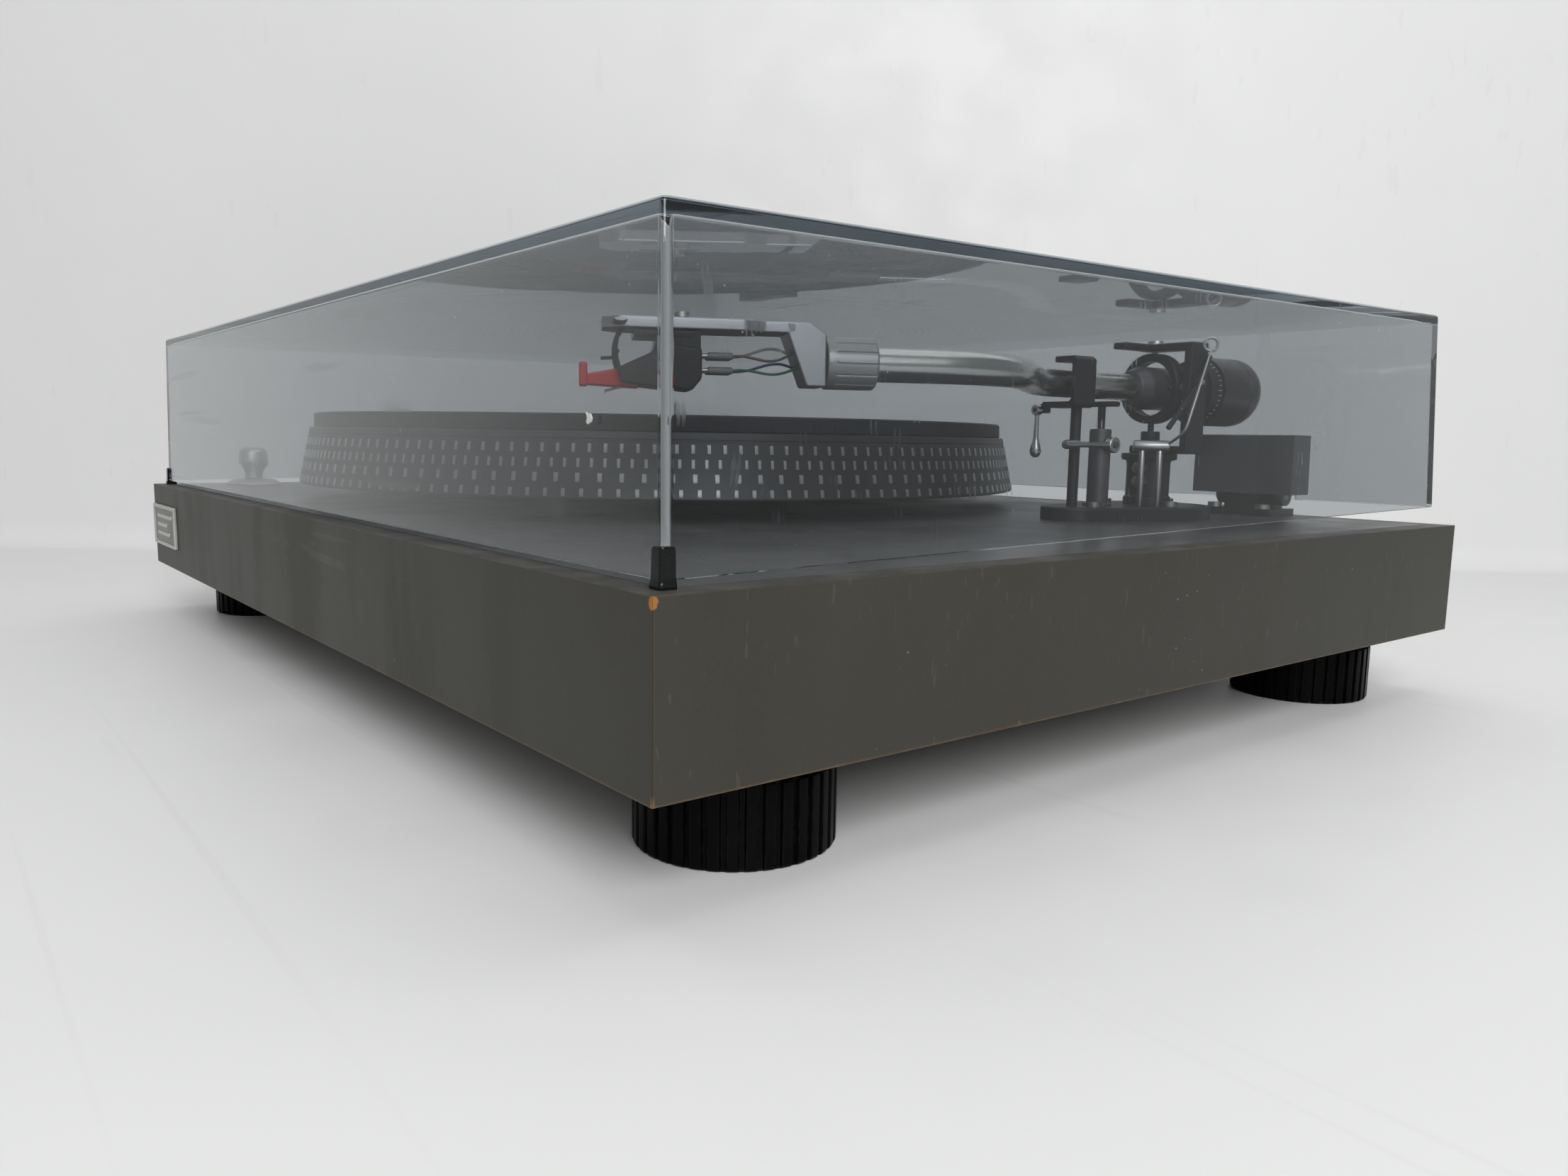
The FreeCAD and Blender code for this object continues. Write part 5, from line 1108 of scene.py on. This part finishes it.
        lever.finish("bias_lever", looks.arm_black.build(), ("bias_lever",), 40.0)


@dataclass
class Tonearm:
    """The moving arm: gimbal, housing, bent tube, collar, headshell, cartridge, counterweight and dial."""

    tube: float = 5.0

    def build(self, looks: Finishes) -> None:
        """Builds the arm from its pivot outwards."""
        self._gimbal(looks)
        self._tube(looks)
        self._collar(looks)
        self._headshell(looks)
        self._cartridge(looks)
        self._leads(looks)
        self._weight(looks)

    def _gimbal(self, looks: Finishes) -> None:
        """The ring between the pivots and the block inside it."""
        ring = Piece("gimbal_band", ArmFrames.arm)
        ring.lathe([(10.5, -2.7), (10.8, -3.0), (13.1, -3.0), (13.5, -2.6), (13.5, -1.0), (13.2, -0.7),
                    (13.2, 0.7), (13.5, 1.0), (13.5, 2.6), (13.1, 3.0), (10.8, 3.0), (10.5, 2.7)], 96,
                   along_x())
        ring.finish("arm_yoke", looks.arm_black.build(), ("gimbal_ring",), 35.0)
        dress("gimbal_pivots", looks.screws.build())
        block = Piece("arm_block", ArmFrames.arm)
        block.lathe([(0, -57.0), (3.6, -57.0), (4.0, -56.6), (4.0, -15.4), (5.0, -14.6), (6.4, -13.0),
                     (7.7, -11.0), (8.2, -9.6), (8.2, -4.2), (7.9, -3.9), (7.9, -3.3), (8.2, -3.0),
                     (8.2, 8.6), (7.9, 9.6), (6.6, 13.4), (6.2, 14.0), (5.05, 14.0), (5.05, 4.5), (0, 4.5)],
                    64, along_x())
        block.finish("tonearm", looks.gunmetal.build(), ("arm_housing",), 35.0)

    def _bend(self, before: Vector, corner: Vector, after: Vector, radius: float,
              count: int = 14) -> list[Vector]:
        """Points along a round bend at a corner of the path."""
        into, out = (before - corner).normalized(), (after - corner).normalized()
        half = into.angle(out) / 2
        middle = (into + out).normalized()
        centre = corner + middle * (radius / math.sin(half))
        start, end = corner + into * (radius / math.tan(half)), corner + out * (radius / math.tan(half))
        first, last = start - centre, end - centre
        turn = first.angle(last)
        points = []
        for index in range(count + 1):
            share = index / count
            points.append(centre + (first * math.sin((1 - share) * turn) + last * math.sin(share * turn))
                          / math.sin(turn))
        return points

    def _tube(self, looks: Finishes) -> None:
        """The polished tube with its two long bends."""
        start, corner = Vector((4.5, 0, 0)), Vector((64, 0, 0))
        front = ArmFrames.front - ArmFrames.axis * 58.0
        end = ArmFrames.front - ArmFrames.axis * 4.0
        path = [start] + self._bend(start, corner, front, 50.0) + self._bend(corner, front, end, 40.0) + [end]
        piece = Piece("arm_tube_polished", ArmFrames.arm)
        piece.tube(path, self.tube, 40)
        piece.finish("tonearm", looks.polished.build(), ("arm_tube",), 40.0)

    def _collar(self, looks: Finishes) -> None:
        """The locking collar with long shallow flutes between broad lands."""
        piece = Piece("collar_fluted", ArmFrames.shell)
        count, length, radius = 14, 15.0, 7.4
        outline = []
        for index in range(count):
            for share, depth in ((0.0, 0.0), (0.2, 0.0), (0.4, 0.0), (0.6, 0.0), (0.76, 0.0), (0.82, 0.12),
                                 (0.87, 0.42), (0.93, 0.42), (0.98, 0.12)):
                outline.append((depth, 2 * math.pi * (index + share) / count))
        levels = [(-length, 5.2, 0.0), (-length, 6.5, 0.0), (-length + 0.2, 6.9, 0.7),
                  (-length + 0.8, radius, 1.0),
                  (-3.2, radius, 1.0), (-2.7, radius, 0.5), (-2.3, radius, 0.0), (-0.5, radius, 0.0),
                  (-0.15, radius - 0.2, 0.0), (0.0, radius - 0.6, 0.0), (0.0, 5.2, 0.0)]
        rings = [[Vector((x, (size - depth * share) * math.cos(angle),
                          (size - depth * share) * math.sin(angle)))
                  for depth, angle in outline] for x, size, share in levels]
        piece.stack(rings, False)
        piece.finish("collar_nut", looks.collar.build(), ("collar_nut",), 38.0)

    def _headshell(self, looks: Finishes) -> None:
        """The headshell: wedge neck, thin slotted plate and finger lift."""
        turn = Matrix.Rotation(math.radians(90), 4, "X")
        neck = Piece("headshell_neck", ArmFrames.shell)
        neck.prism([(0.35, -7.0), (6.0, -7.0), (11.5, 7.5), (12.5, 10.8), (5.0, 10.8), (0.35, 7.5)], -6.6,
                   6.6, turn)
        neck.sharp(0.6, 3)
        neck.rod((-13.5, 0, 0), (1.0, 0, 0), 4.1, 32)
        neck.finish("tonearm", looks.satin.build(), ("headshell",), 40.0)
        plate = Piece("headshell_plate", ArmFrames.shell)
        outline = [(9, -6.6), (18, -6.6), (24, -9.2), (56, -9.2), (60.5, -5), (60.5, 5), (56, 9.2), (24, 9.2),
                   (18, 6.6), (9, 6.6)]
        plate.prism(outline, 7.5, 10.8)
        plate.sharp(0.55, 3, 12.0)
        plate.finish("tonearm", looks.satin.build(), (), 40.0)
        slots = Piece("headshell_slots", ArmFrames.shell)
        for side in (-1, 1):
            slots.box((34.5, side * 6.35 - 1.0, 10.5), (49.5, side * 6.35 + 1.0, 10.83), 0.1, 1)
        slots.finish("tonearm", looks.black.build())
        finger = Piece("finger_lift", ArmFrames.shell)
        path = [Vector((56, 6.0, 8.6)), Vector((56, 12.0, 8.6)), Vector((56, 17.0, 8.6)),
                Vector((56, 20.0, 8.55)), Vector((56, 21.8, 8.5))]
        finger.tube(path, [0.62] * 4 + [0.5], 16)
        for vert in finger.bm.verts:
            vert.co.x = 56 + (vert.co.x - 56) * 3.0
        finger.finish("tonearm", looks.satin.build(), (), 45.0)

    def _cartridge(self, looks: Finishes) -> None:
        """The cartridge: mounting block, body with two bowed struts, and the red stylus holder."""
        turn = Matrix.Rotation(math.radians(90), 4, "X")
        body = Piece("cartridge_body", ArmFrames.shell)
        body.prism([(35.5, -5.5), (38.3, -8.9), (50.6, -7.7), (55.6, -6.8), (56.3, -3.2), (54.0, -1.9),
                    (47.0, 1.4), (46.2, 4.0), (35.5, 2.6)], -8.0, 8.0, turn)
        body.sharp(0.7, 3)
        body.prism([(35.9, 2.2), (46.1, 3.6), (46.0, 7.5), (35.9, 7.5)], -7.6, 7.6, turn)
        body.box((37.5, -7.9, 5.4), (52.0, 7.9, 7.48), 0.4, 2)
        body.finish("tonearm", looks.black.build(), ("cartridge",), 40.0)
        struts = Piece("cartridge_struts", ArmFrames.shell)
        for side in (-1, 1):
            path = [Vector((55.3, side * 7.1, -4.4))]
            for share in (0.15, 0.3, 0.45, 0.6, 0.75, 0.9):
                path.append(Vector((55.5 + 1.4 * math.sin(math.pi * share * 0.95), side * 7.1,
                                    -4.4 + 11.9 * share)))
            path.append(Vector((55.0, side * 7.1, 7.45)))
            struts.tube(path, 0.62, 12)
        struts.rod((56.2, -7.1, 1.4), (56.2, 7.1, 1.4), 0.42, 12)
        struts.rod((56.0, -7.1, 0.6), (60.5, -7.1, 0.2), 0.5, 12)
        struts.finish("tonearm", looks.black.build(), (), 45.0)
        pins = Piece("cartridge_pins", ArmFrames.shell)
        for y, z in ((-3.0, 1.0), (3.0, 1.0), (-3.0, -3.0), (3.0, -3.0)):
            pins.rod((31.6, y, z), (36.1, y, z), 0.55, 14)
        pins.finish("tonearm", looks.nickel.build(), (), 40.0)
        holder = Piece("stylus_grip", ArmFrames.shell)
        holder.prism([(50.4, -8.3), (64.6, -7.6), (64.6, -4.7), (56.0, -3.05), (50.4, -3.05)], -4.2, 4.2,
                     turn)
        holder.sharp(0.5, 3)
        holder.box((64.3, -4.9, -8.0), (66.6, 4.9, -1.6), 0.55, 3)
        holder.finish("tonearm", looks.red.build(), ("stylus_holder",), 40.0)
        needle = Piece("stylus_needle", ArmFrames.shell)
        needle.rod((55.0, 0, -7.9), (59.6, 0, -9.2), 0.35, 12)
        needle.lathe([(0, -10.0), (0.08, -10.0), (0.32, -9.0), (0, -9.0)], 12,
                     Matrix.Translation((59.5, 0, 0)))
        needle.finish("tonearm", looks.steel.build(), (), 50.0)
        dress("cartridge_screws", looks.screws.build())

    def _leads(self, looks: Finishes) -> None:
        """Four coloured leads that curl from the pins to the neck."""
        colours = (looks.lead_white, looks.lead_red, looks.lead_blue, looks.lead_green)
        spots = ((-3.0, 1.0), (3.0, 1.0), (-3.0, -3.0), (3.0, -3.0))
        bows = ((-1.4, 2.0), (1.2, -2.2), (1.8, 1.4), (-1.6, -1.4))
        names = ("lead_a", "lead_b", "lead_c", "lead_d")
        sleeves = Piece("lead_sleeves", ArmFrames.shell)
        for index, (name, (y, z), (bow_y, bow_z)) in enumerate(zip(names, spots, bows)):
            piece = Piece(name, ArmFrames.shell)
            sleeves.rod((33.5, y, z), (26.5, y, z), 1.0, 18, 0.3)
            end = Vector((8.6 + 0.38 * (z + 1.4), y * 0.9, z + 1.4))
            first, last = Vector((26.9, y, z)), end
            path = []
            for step in range(19):
                share = step / 18
                point = first.lerp(last, share)
                swing = math.sin(math.pi * share)
                twist = math.sin(2 * math.pi * share)
                point.y += bow_y * swing - y * 0.45 * swing
                point.z += bow_z * swing * 0.7 + 0.7 * twist * (1 if index % 2 else -1)
                path.append(point)
            piece.tube(path, 0.38, 12)
            piece.finish("tonearm", colours[index].build(),
                         ("cartridge_leads",) if index == 0 else (), 50.0)
        sleeves.finish("tonearm", looks.sleeve.build(), (), 50.0)

    def _weight(self, looks: Finishes) -> None:
        """The counterweight with a domed rear, and the tracking dial with raised marks."""
        piece = Piece("weight_turned", ArmFrames.arm)
        piece.lathe([(4.1, -26.5), (13.2, -26.5), (13.6, -26.7), (13.8, -27.1), (13.8, -43.2), (13.5, -43.6),
                     (13.5, -44.0), (13.8, -44.4), (13.8, -48.0), (13.5, -49.6), (12.8, -51.3), (11.6, -52.8),
                     (10.0, -54.0), (8.6, -54.4), (7.8, -54.5), (7.4, -54.1), (4.1, -54.1)], 96, along_x())
        piece.finish("counterweight", looks.weight.build(), ("counterweight",), 32.0)
        dial = Piece("dial_ring", ArmFrames.arm)
        dial.lathe([(4.1, -26.2), (12.7, -26.2), (13.0, -26.0), (12.95, -25.6), (11.9, -21.5), (11.6, -21.2),
                    (4.1, -21.2)], 96, along_x())
        dial.finish("tracking_dial", looks.arm_black.build(), ("tracking_dial",), 32.0)
        marks = Piece("dial_marks", ArmFrames.arm)
        for index, angle in enumerate(turns(40)):
            span = 1.7 if index % 5 == 0 else 1.0
            spot = (Matrix.Rotation(angle, 4, "X")
                    @ Matrix.Translation((-25.4 + span / 2, 0, 12.9 - 0.13 * span))
                    @ Matrix.Rotation(math.radians(14.4), 4, "Y") @ Matrix.Diagonal((span, 0.28, 0.16, 1.0)))
            bmesh.ops.create_cube(marks.bm, size=1.0, matrix=spot)
        marks.finish("tracking_dial", looks.ink.build())


# ------------------------------------------------------------------ dust cover
@dataclass
class DustCover:
    """The clear drafted cover, its corner bumpers and its hinges.

    Args:
        half_x: half its width at the rim.
        front: its rim's front.
        rear: its rim's rear.
        low: the rim's height.
        tall: how far it rises.
        wall: its thickness.
        draft: how far each side leans in over its height.
        tilt_deg: how far it is tipped about its front rim.
    """

    half_x: float = 234.5
    front: float = -172.0
    rear: float = 172.0
    low: float = 66.1
    tall: float = 71.0
    wall: float = 3.0
    draft: float = 2.6
    tilt_deg: float = 0.85

    def build(self, looks: Finishes) -> None:
        """Builds the shell and bumpers, and finishes the hinges."""
        self._shell(looks)
        for side in (-1, 1):
            self._bumper(side, looks)
        flake = Piece("cover_flake")
        turn = Matrix(((1, 0, 0, 205.9), (0, 0, 1, 0), (0, 1, 0, 96.6), (0, 0, 0, 1)))
        flake.prism([(-1.1, 1.2), (-0.3, 0.7), (0.5, 0.9), (1.2, -0.1), (0.9, -0.8), (0.3, -1.0),
                     (-0.1, -1.3), (-0.9, -0.9), (-0.5, 0.0)], -171.7, -171.1, turn)
        flake.finish("dust_cover", looks.ink.build(), (), 30.0)
        dress("hinge_caps", looks.hinge.build())
        dress("hinge_pins", looks.zinc.build())
        dress("hinge_brackets", looks.black.build())

    def _tilt(self) -> Matrix:
        """Tips the cover about its front rim."""
        pivot = Vector((0, self.front, self.low))
        lean = Matrix.Rotation(math.radians(self.tilt_deg), 4, "X")
        return Matrix.Translation(pivot) @ lean @ Matrix.Translation(-pivot)

    def _corners(self, inset: float, z: float, radius: float, steps: int = 4) -> list[Vector]:
        """The cover's outline at a height, drawn in by an inset, with rounded corners."""
        shrink = inset + self.draft * (z - self.low) / self.tall
        x1, y0, y1 = self.half_x - shrink, self.front + shrink, self.rear - shrink
        points = []
        for cx, cy, start in ((x1 - radius, y1 - radius, 0), (-x1 + radius, y1 - radius, 90),
                              (-x1 + radius, y0 + radius, 180), (x1 - radius, y0 + radius, 270)):
            for step in range(steps + 1):
                angle = math.radians(start + 90 * step / steps)
                points.append(Vector((cx + radius * math.cos(angle), cy + radius * math.sin(angle), z)))
        return points

    def _shell(self, looks: Finishes) -> None:
        """The moulded shell: rounded outside and inside, with two notches in its rear wall."""
        top = self.low + self.tall
        ceiling = top - self.wall
        piece = Piece("cover_acrylic", self._tilt())
        rings = [self._corners(0.25, self.low, 1.1), self._corners(0.0, self.low + 0.25, 1.2),
                 self._corners(0.0, top - 1.2, 1.2), self._corners(0.16, top - 0.6, 1.2),
                 self._corners(0.6, top - 0.16, 1.1), self._corners(1.2, top, 0.9)]
        inner = [self._corners(self.wall, self.low, 0.8), self._corners(self.wall, ceiling - 1.0, 0.8),
                 self._corners(self.wall + 0.3, ceiling - 0.3, 0.7),
                 self._corners(self.wall + 1.0, ceiling, 0.6)]
        piece.stack(list(reversed(inner)) + rings, True)
        made = piece.finish("dust_cover", looks.acrylic.build(), (), 30.0)
        cutters = Piece("cover_notches")
        for side in (-1, 1):
            middle = side * 164.5
            cutters.box((middle - 16.0, 164.0, 64.4), (middle + 16.0, 178.0, 79.4))
        cut(made, cutters)
        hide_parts("dust_cover")

    def _bumper(self, side: int, looks: Finishes) -> None:
        """A soft angle round a front corner of the rim, with a flared foot."""
        name = "bumper_right" if side > 0 else "bumper_left"
        piece = Piece(name)
        deck, rim, top = 64.5, self.low - 0.15, self.low + 6.6

        def angle_at(z: float, out: float, inner: float, reach: float = 2.5,
                     tip: float = 0.0) -> list[Vector]:
            """The angle's outline at a height."""
            x1, x0, xi = self.half_x + out, self.half_x - reach + tip, self.half_x + inner
            y1, y0, yi = self.front - out, self.front + reach - tip, self.front - inner
            round_by = 0.9
            points = [(x0, y1)]
            for step in range(5):
                turn = math.radians(-90 + 90 * step / 4)
                points.append((x1 - round_by + round_by * math.cos(turn),
                               y1 + round_by + round_by * math.sin(turn)))
            points += [(x1, y0), (xi, y0), (xi, yi), (x0, yi)]
            return [Vector((side * x, y, z)) for x, y in points]

        lean = self.draft / self.tall
        piece.stack([angle_at(deck, 1.2, -3.1), angle_at(deck + 0.3, 1.35, -3.15),
                     angle_at(rim - 0.5, 1.35, -3.15),
                     angle_at(rim - 0.05, 1.2, -3.15), angle_at(rim, 1.1, 0.15)], True)
        piece.stack([angle_at(rim - 0.2, 1.1, 0.15), angle_at(rim + 1.2, 0.95, 0.15),
                     angle_at(top - 0.6, 0.8, 0.15 - lean * 5.8),
                     angle_at(top - 0.1, 0.65, 0.15 - lean * 6.4, 2.5, 0.3),
                     angle_at(top, 0.45, 0.2 - lean * 6.6, 2.5, 0.6)], True)
        piece.finish("dust_cover", looks.bumper.build(), ("lid_bumpers",) if side > 0 else (), 40.0)


def weigh(made: bpy.types.Object) -> None:
    """Lets an object's large faces decide its shading, so flat faces stay flat beside rounded edges."""
    change = made.modifiers.new("weighted", "WEIGHTED_NORMAL")
    change.mode = "FACE_AREA"
    change.weight = 50
    change.keep_sharp = True


def dress(node: str, material: bpy.types.Material) -> None:
    """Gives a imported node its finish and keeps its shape."""
    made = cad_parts[node]
    made.data.materials.clear()
    made.data.materials.append(material)


def cut(made: bpy.types.Object, cutters: Piece) -> None:
    """Cuts a piece's shapes out of a finished object."""
    bmesh.ops.recalc_face_normals(cutters.bm, faces=cutters.bm.faces)
    bmesh.ops.scale(cutters.bm, vec=(MM, MM, MM), verts=cutters.bm.verts)
    mesh = bpy.data.meshes.new(cutters.name)
    cutters.bm.to_mesh(mesh)
    cutters.bm.free()
    tool = bpy.data.objects.new(cutters.name, mesh)
    bpy.context.scene.collection.objects.link(tool)
    made.modifiers.clear()
    change = made.modifiers.new("cut", "BOOLEAN")
    change.operation = "DIFFERENCE"
    change.solver = "EXACT"
    change.object = tool
    bpy.context.view_layer.update()
    result = bpy.data.meshes.new_from_object(made.evaluated_get(bpy.context.evaluated_depsgraph_get()))
    made.modifiers.clear()
    made.data = result
    weigh(made)
    bpy.data.objects.remove(tool)


@dataclass(frozen=True)
class Hidden:
    """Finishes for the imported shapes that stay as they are."""

    def build(self, looks: Finishes) -> None:
        """Dresses every node that no new piece stands for."""
        for node, look, slot in (
                ("corner_blocks", looks.wood, "inner_wood"), ("foot_studs", looks.zinc, "steel"),
                ("bottom_cover", looks.hardboard, "inner_wood"), ("bottom_screws", looks.screws, "steel"),
                ("deck_plate", looks.deck, "deck"), ("bearing_housing", looks.casting, "casting"),
                ("bearing_bushes", looks.bronze, "bronze"), ("drive_belt", looks.belt, "belt"),
                ("motor_pulley", looks.steel, "steel"), ("motor", looks.motor, "motor"),
                ("control_board", looks.circuit, "circuit"), ("transformer", looks.coil, "coil"),
                ("socket_plate", looks.black, "black_plastic"), ("phono_sockets", looks.nickel, "nickel"),
                ("earth_terminal", looks.nickel, "nickel"), ("mains_inlet", looks.black, "black_plastic"),
                ("speed_switch", looks.black, "black_plastic"), ("small_screws", looks.screws, "steel")):
            material = bpy.data.materials.get(look.name) or look.build()
            dress(node, material)


# ------------------------------------------------------------------ studio
@dataclass(frozen=True)
class Studio:
    """Pale table and wall, soft lights and the camera.

    Args:
        eye: the camera's place, in metres.
        yaw_deg: its bearing from +Y, towards -X.
        pitch_deg: how far it looks down.
        roll_deg: its roll.
        lens: focal length for a 36 mm wide sensor.
        wall: how far ahead of the camera the wall stands.
    """

    eye: tuple = (0.4107, -0.2841, 0.0933)
    yaw_deg: float = 51.236
    pitch_deg: float = 7.695
    roll_deg: float = 0.947
    lens: float = 25.58
    wall: float = 0.86

    def build(self) -> None:
        """Builds the surroundings, none of which are part of the object."""
        yaw, pitch, roll = (math.radians(v) for v in (self.yaw_deg, self.pitch_deg, self.roll_deg))
        ahead = Vector((-math.sin(yaw) * math.cos(pitch), math.cos(yaw) * math.cos(pitch), -math.sin(pitch)))
        right = Vector((math.cos(yaw), math.sin(yaw), 0.0))
        up = right.cross(ahead)
        right, up = (right * math.cos(roll) + up * math.sin(roll),
                     up * math.cos(roll) - right * math.sin(roll))
        camera = bpy.data.objects.new("camera", bpy.data.cameras.new("camera"))
        camera.data.lens = self.lens
        camera.data.sensor_width = 36.0
        camera.data.clip_start = 0.005
        camera.matrix_world = Matrix.Translation(self.eye) @ Matrix((right, up, -ahead)).transposed().to_4x4()
        bpy.context.scene.collection.objects.link(camera)
        bpy.context.scene.camera = camera
        bpy.context.scene.view_settings.view_transform = "Standard"
        self._floor(Vector((-math.sin(yaw), math.cos(yaw), 0.0)), Vector((math.cos(yaw), math.sin(yaw), 0.0)))
        self._lights()

    def _floor(self, ahead: Vector, side: Vector) -> None:
        """The table top, and the wall that meets it in a small cove."""
        material = bpy.data.materials.new("pale_surface")
        material.use_nodes = True
        shader = Shader(material.node_tree)
        where = shader.place()
        tone = shader.mix(shader.noise(where, 3.0, 4.0), (0.74, 0.745, 0.74), (0.79, 0.795, 0.79))
        marks = Effects.use(shader, "scratches", Amount=0.35, Scale=0.16).outputs["Mask"]
        tone = shader.mix(shader.math("MULTIPLY", marks, 0.4), tone, (0.60, 0.60, 0.60))
        rough = shader.spread(shader.noise(where, 20.0, 4.0), 0.3, 0.7, 0.42, 0.55)
        surface = shader.node("BsdfPrincipled", Base_Color=tone, Roughness=rough,
                              Normal=shader.bump(shader.noise(where, 700.0, 3.0), 0.00003, 0.5))
        clear = shader.node("BsdfTransparent")
        face = shader.node("NewGeometry")
        sides = shader.node("MixShader")
        shader.put(sides.inputs[0], face.outputs["Backfacing"])
        shader.put(sides.inputs[1], surface.outputs[0])
        shader.put(sides.inputs[2], clear.outputs[0])
        shader.node("OutputMaterial", Surface=sides.outputs[0])
        bm = bmesh.new()
        middle = Vector((self.eye[0], self.eye[1], 0.0))
        reach, cove = self.wall, 0.02
        profile = [(-3.0, 0.0), (reach - cove, 0.0)]
        for step in range(1, 9):
            angle = math.radians(90 * step / 8)
            profile.append((reach - cove + cove * math.sin(angle), cove - cove * math.cos(angle)))
        profile.append((reach, 2.6))
        rows = [[bm.verts.new(middle + ahead * d + side * s + Vector((0, 0, z))) for s in (-3.0, 3.0)]
                for d, z in profile]
        for low, high in zip(rows, rows[1:]):
            face_made = bm.faces.new((low[0], low[1], high[1], high[0]))
            face_made.smooth = True
        mesh = bpy.data.meshes.new("surroundings")
        bm.to_mesh(mesh)
        bm.free()
        mesh.materials.append(material)
        made = bpy.data.objects.new("surroundings", mesh)
        bpy.context.scene.collection.objects.link(made)

    def _lights(self) -> None:
        """One broad panel overhead, a stronger one in front, and an even pale sky."""
        for name, place, size, power in (("panel_above", (-0.20, 0.35, 1.5), 1.5, 9.5),
                                         ("panel_front", (1.5, -0.75, 1.0), 1.0, 26.0)):
            light = bpy.data.lights.new(name, "AREA")
            light.shape = "SQUARE"
            light.size = size
            light.energy = power
            made = bpy.data.objects.new(name, light)
            aim = (-Vector(place)).to_track_quat("-Z", "Y").to_matrix().to_4x4()
            made.matrix_world = Matrix.Translation(place) @ aim
            bpy.context.scene.collection.objects.link(made)
        world = bpy.data.worlds.new("pale_sky")
        world.use_nodes = True
        world.node_tree.nodes["Background"].inputs[0].default_value = (0.97, 0.98, 0.97, 1.0)
        world.node_tree.nodes["Background"].inputs[1].default_value = 0.33
        bpy.context.scene.world = world


def main() -> None:
    """Builds the turntable's looks in order, then its surroundings."""
    logging.basicConfig(level=logging.INFO, format="%(message)s")
    looks = Finishes()
    Plinth().build(looks)
    for node in ("foot_front_left", "foot_front_right", "foot_rear_left", "foot_rear_right"):
        low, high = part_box(node)
        middle = (low + high) / 2 / MM
        Foot(node, round(middle.x, 3), round(middle.y, 3)).build(looks)
    Platter().build(looks)
    Selector().build(looks)
    ArmBase().build(looks)
    Tonearm().build(looks)
    DustCover().build(looks)
    Hidden().build(looks)
    Studio().build()


if __name__ == "__main__":
    main()
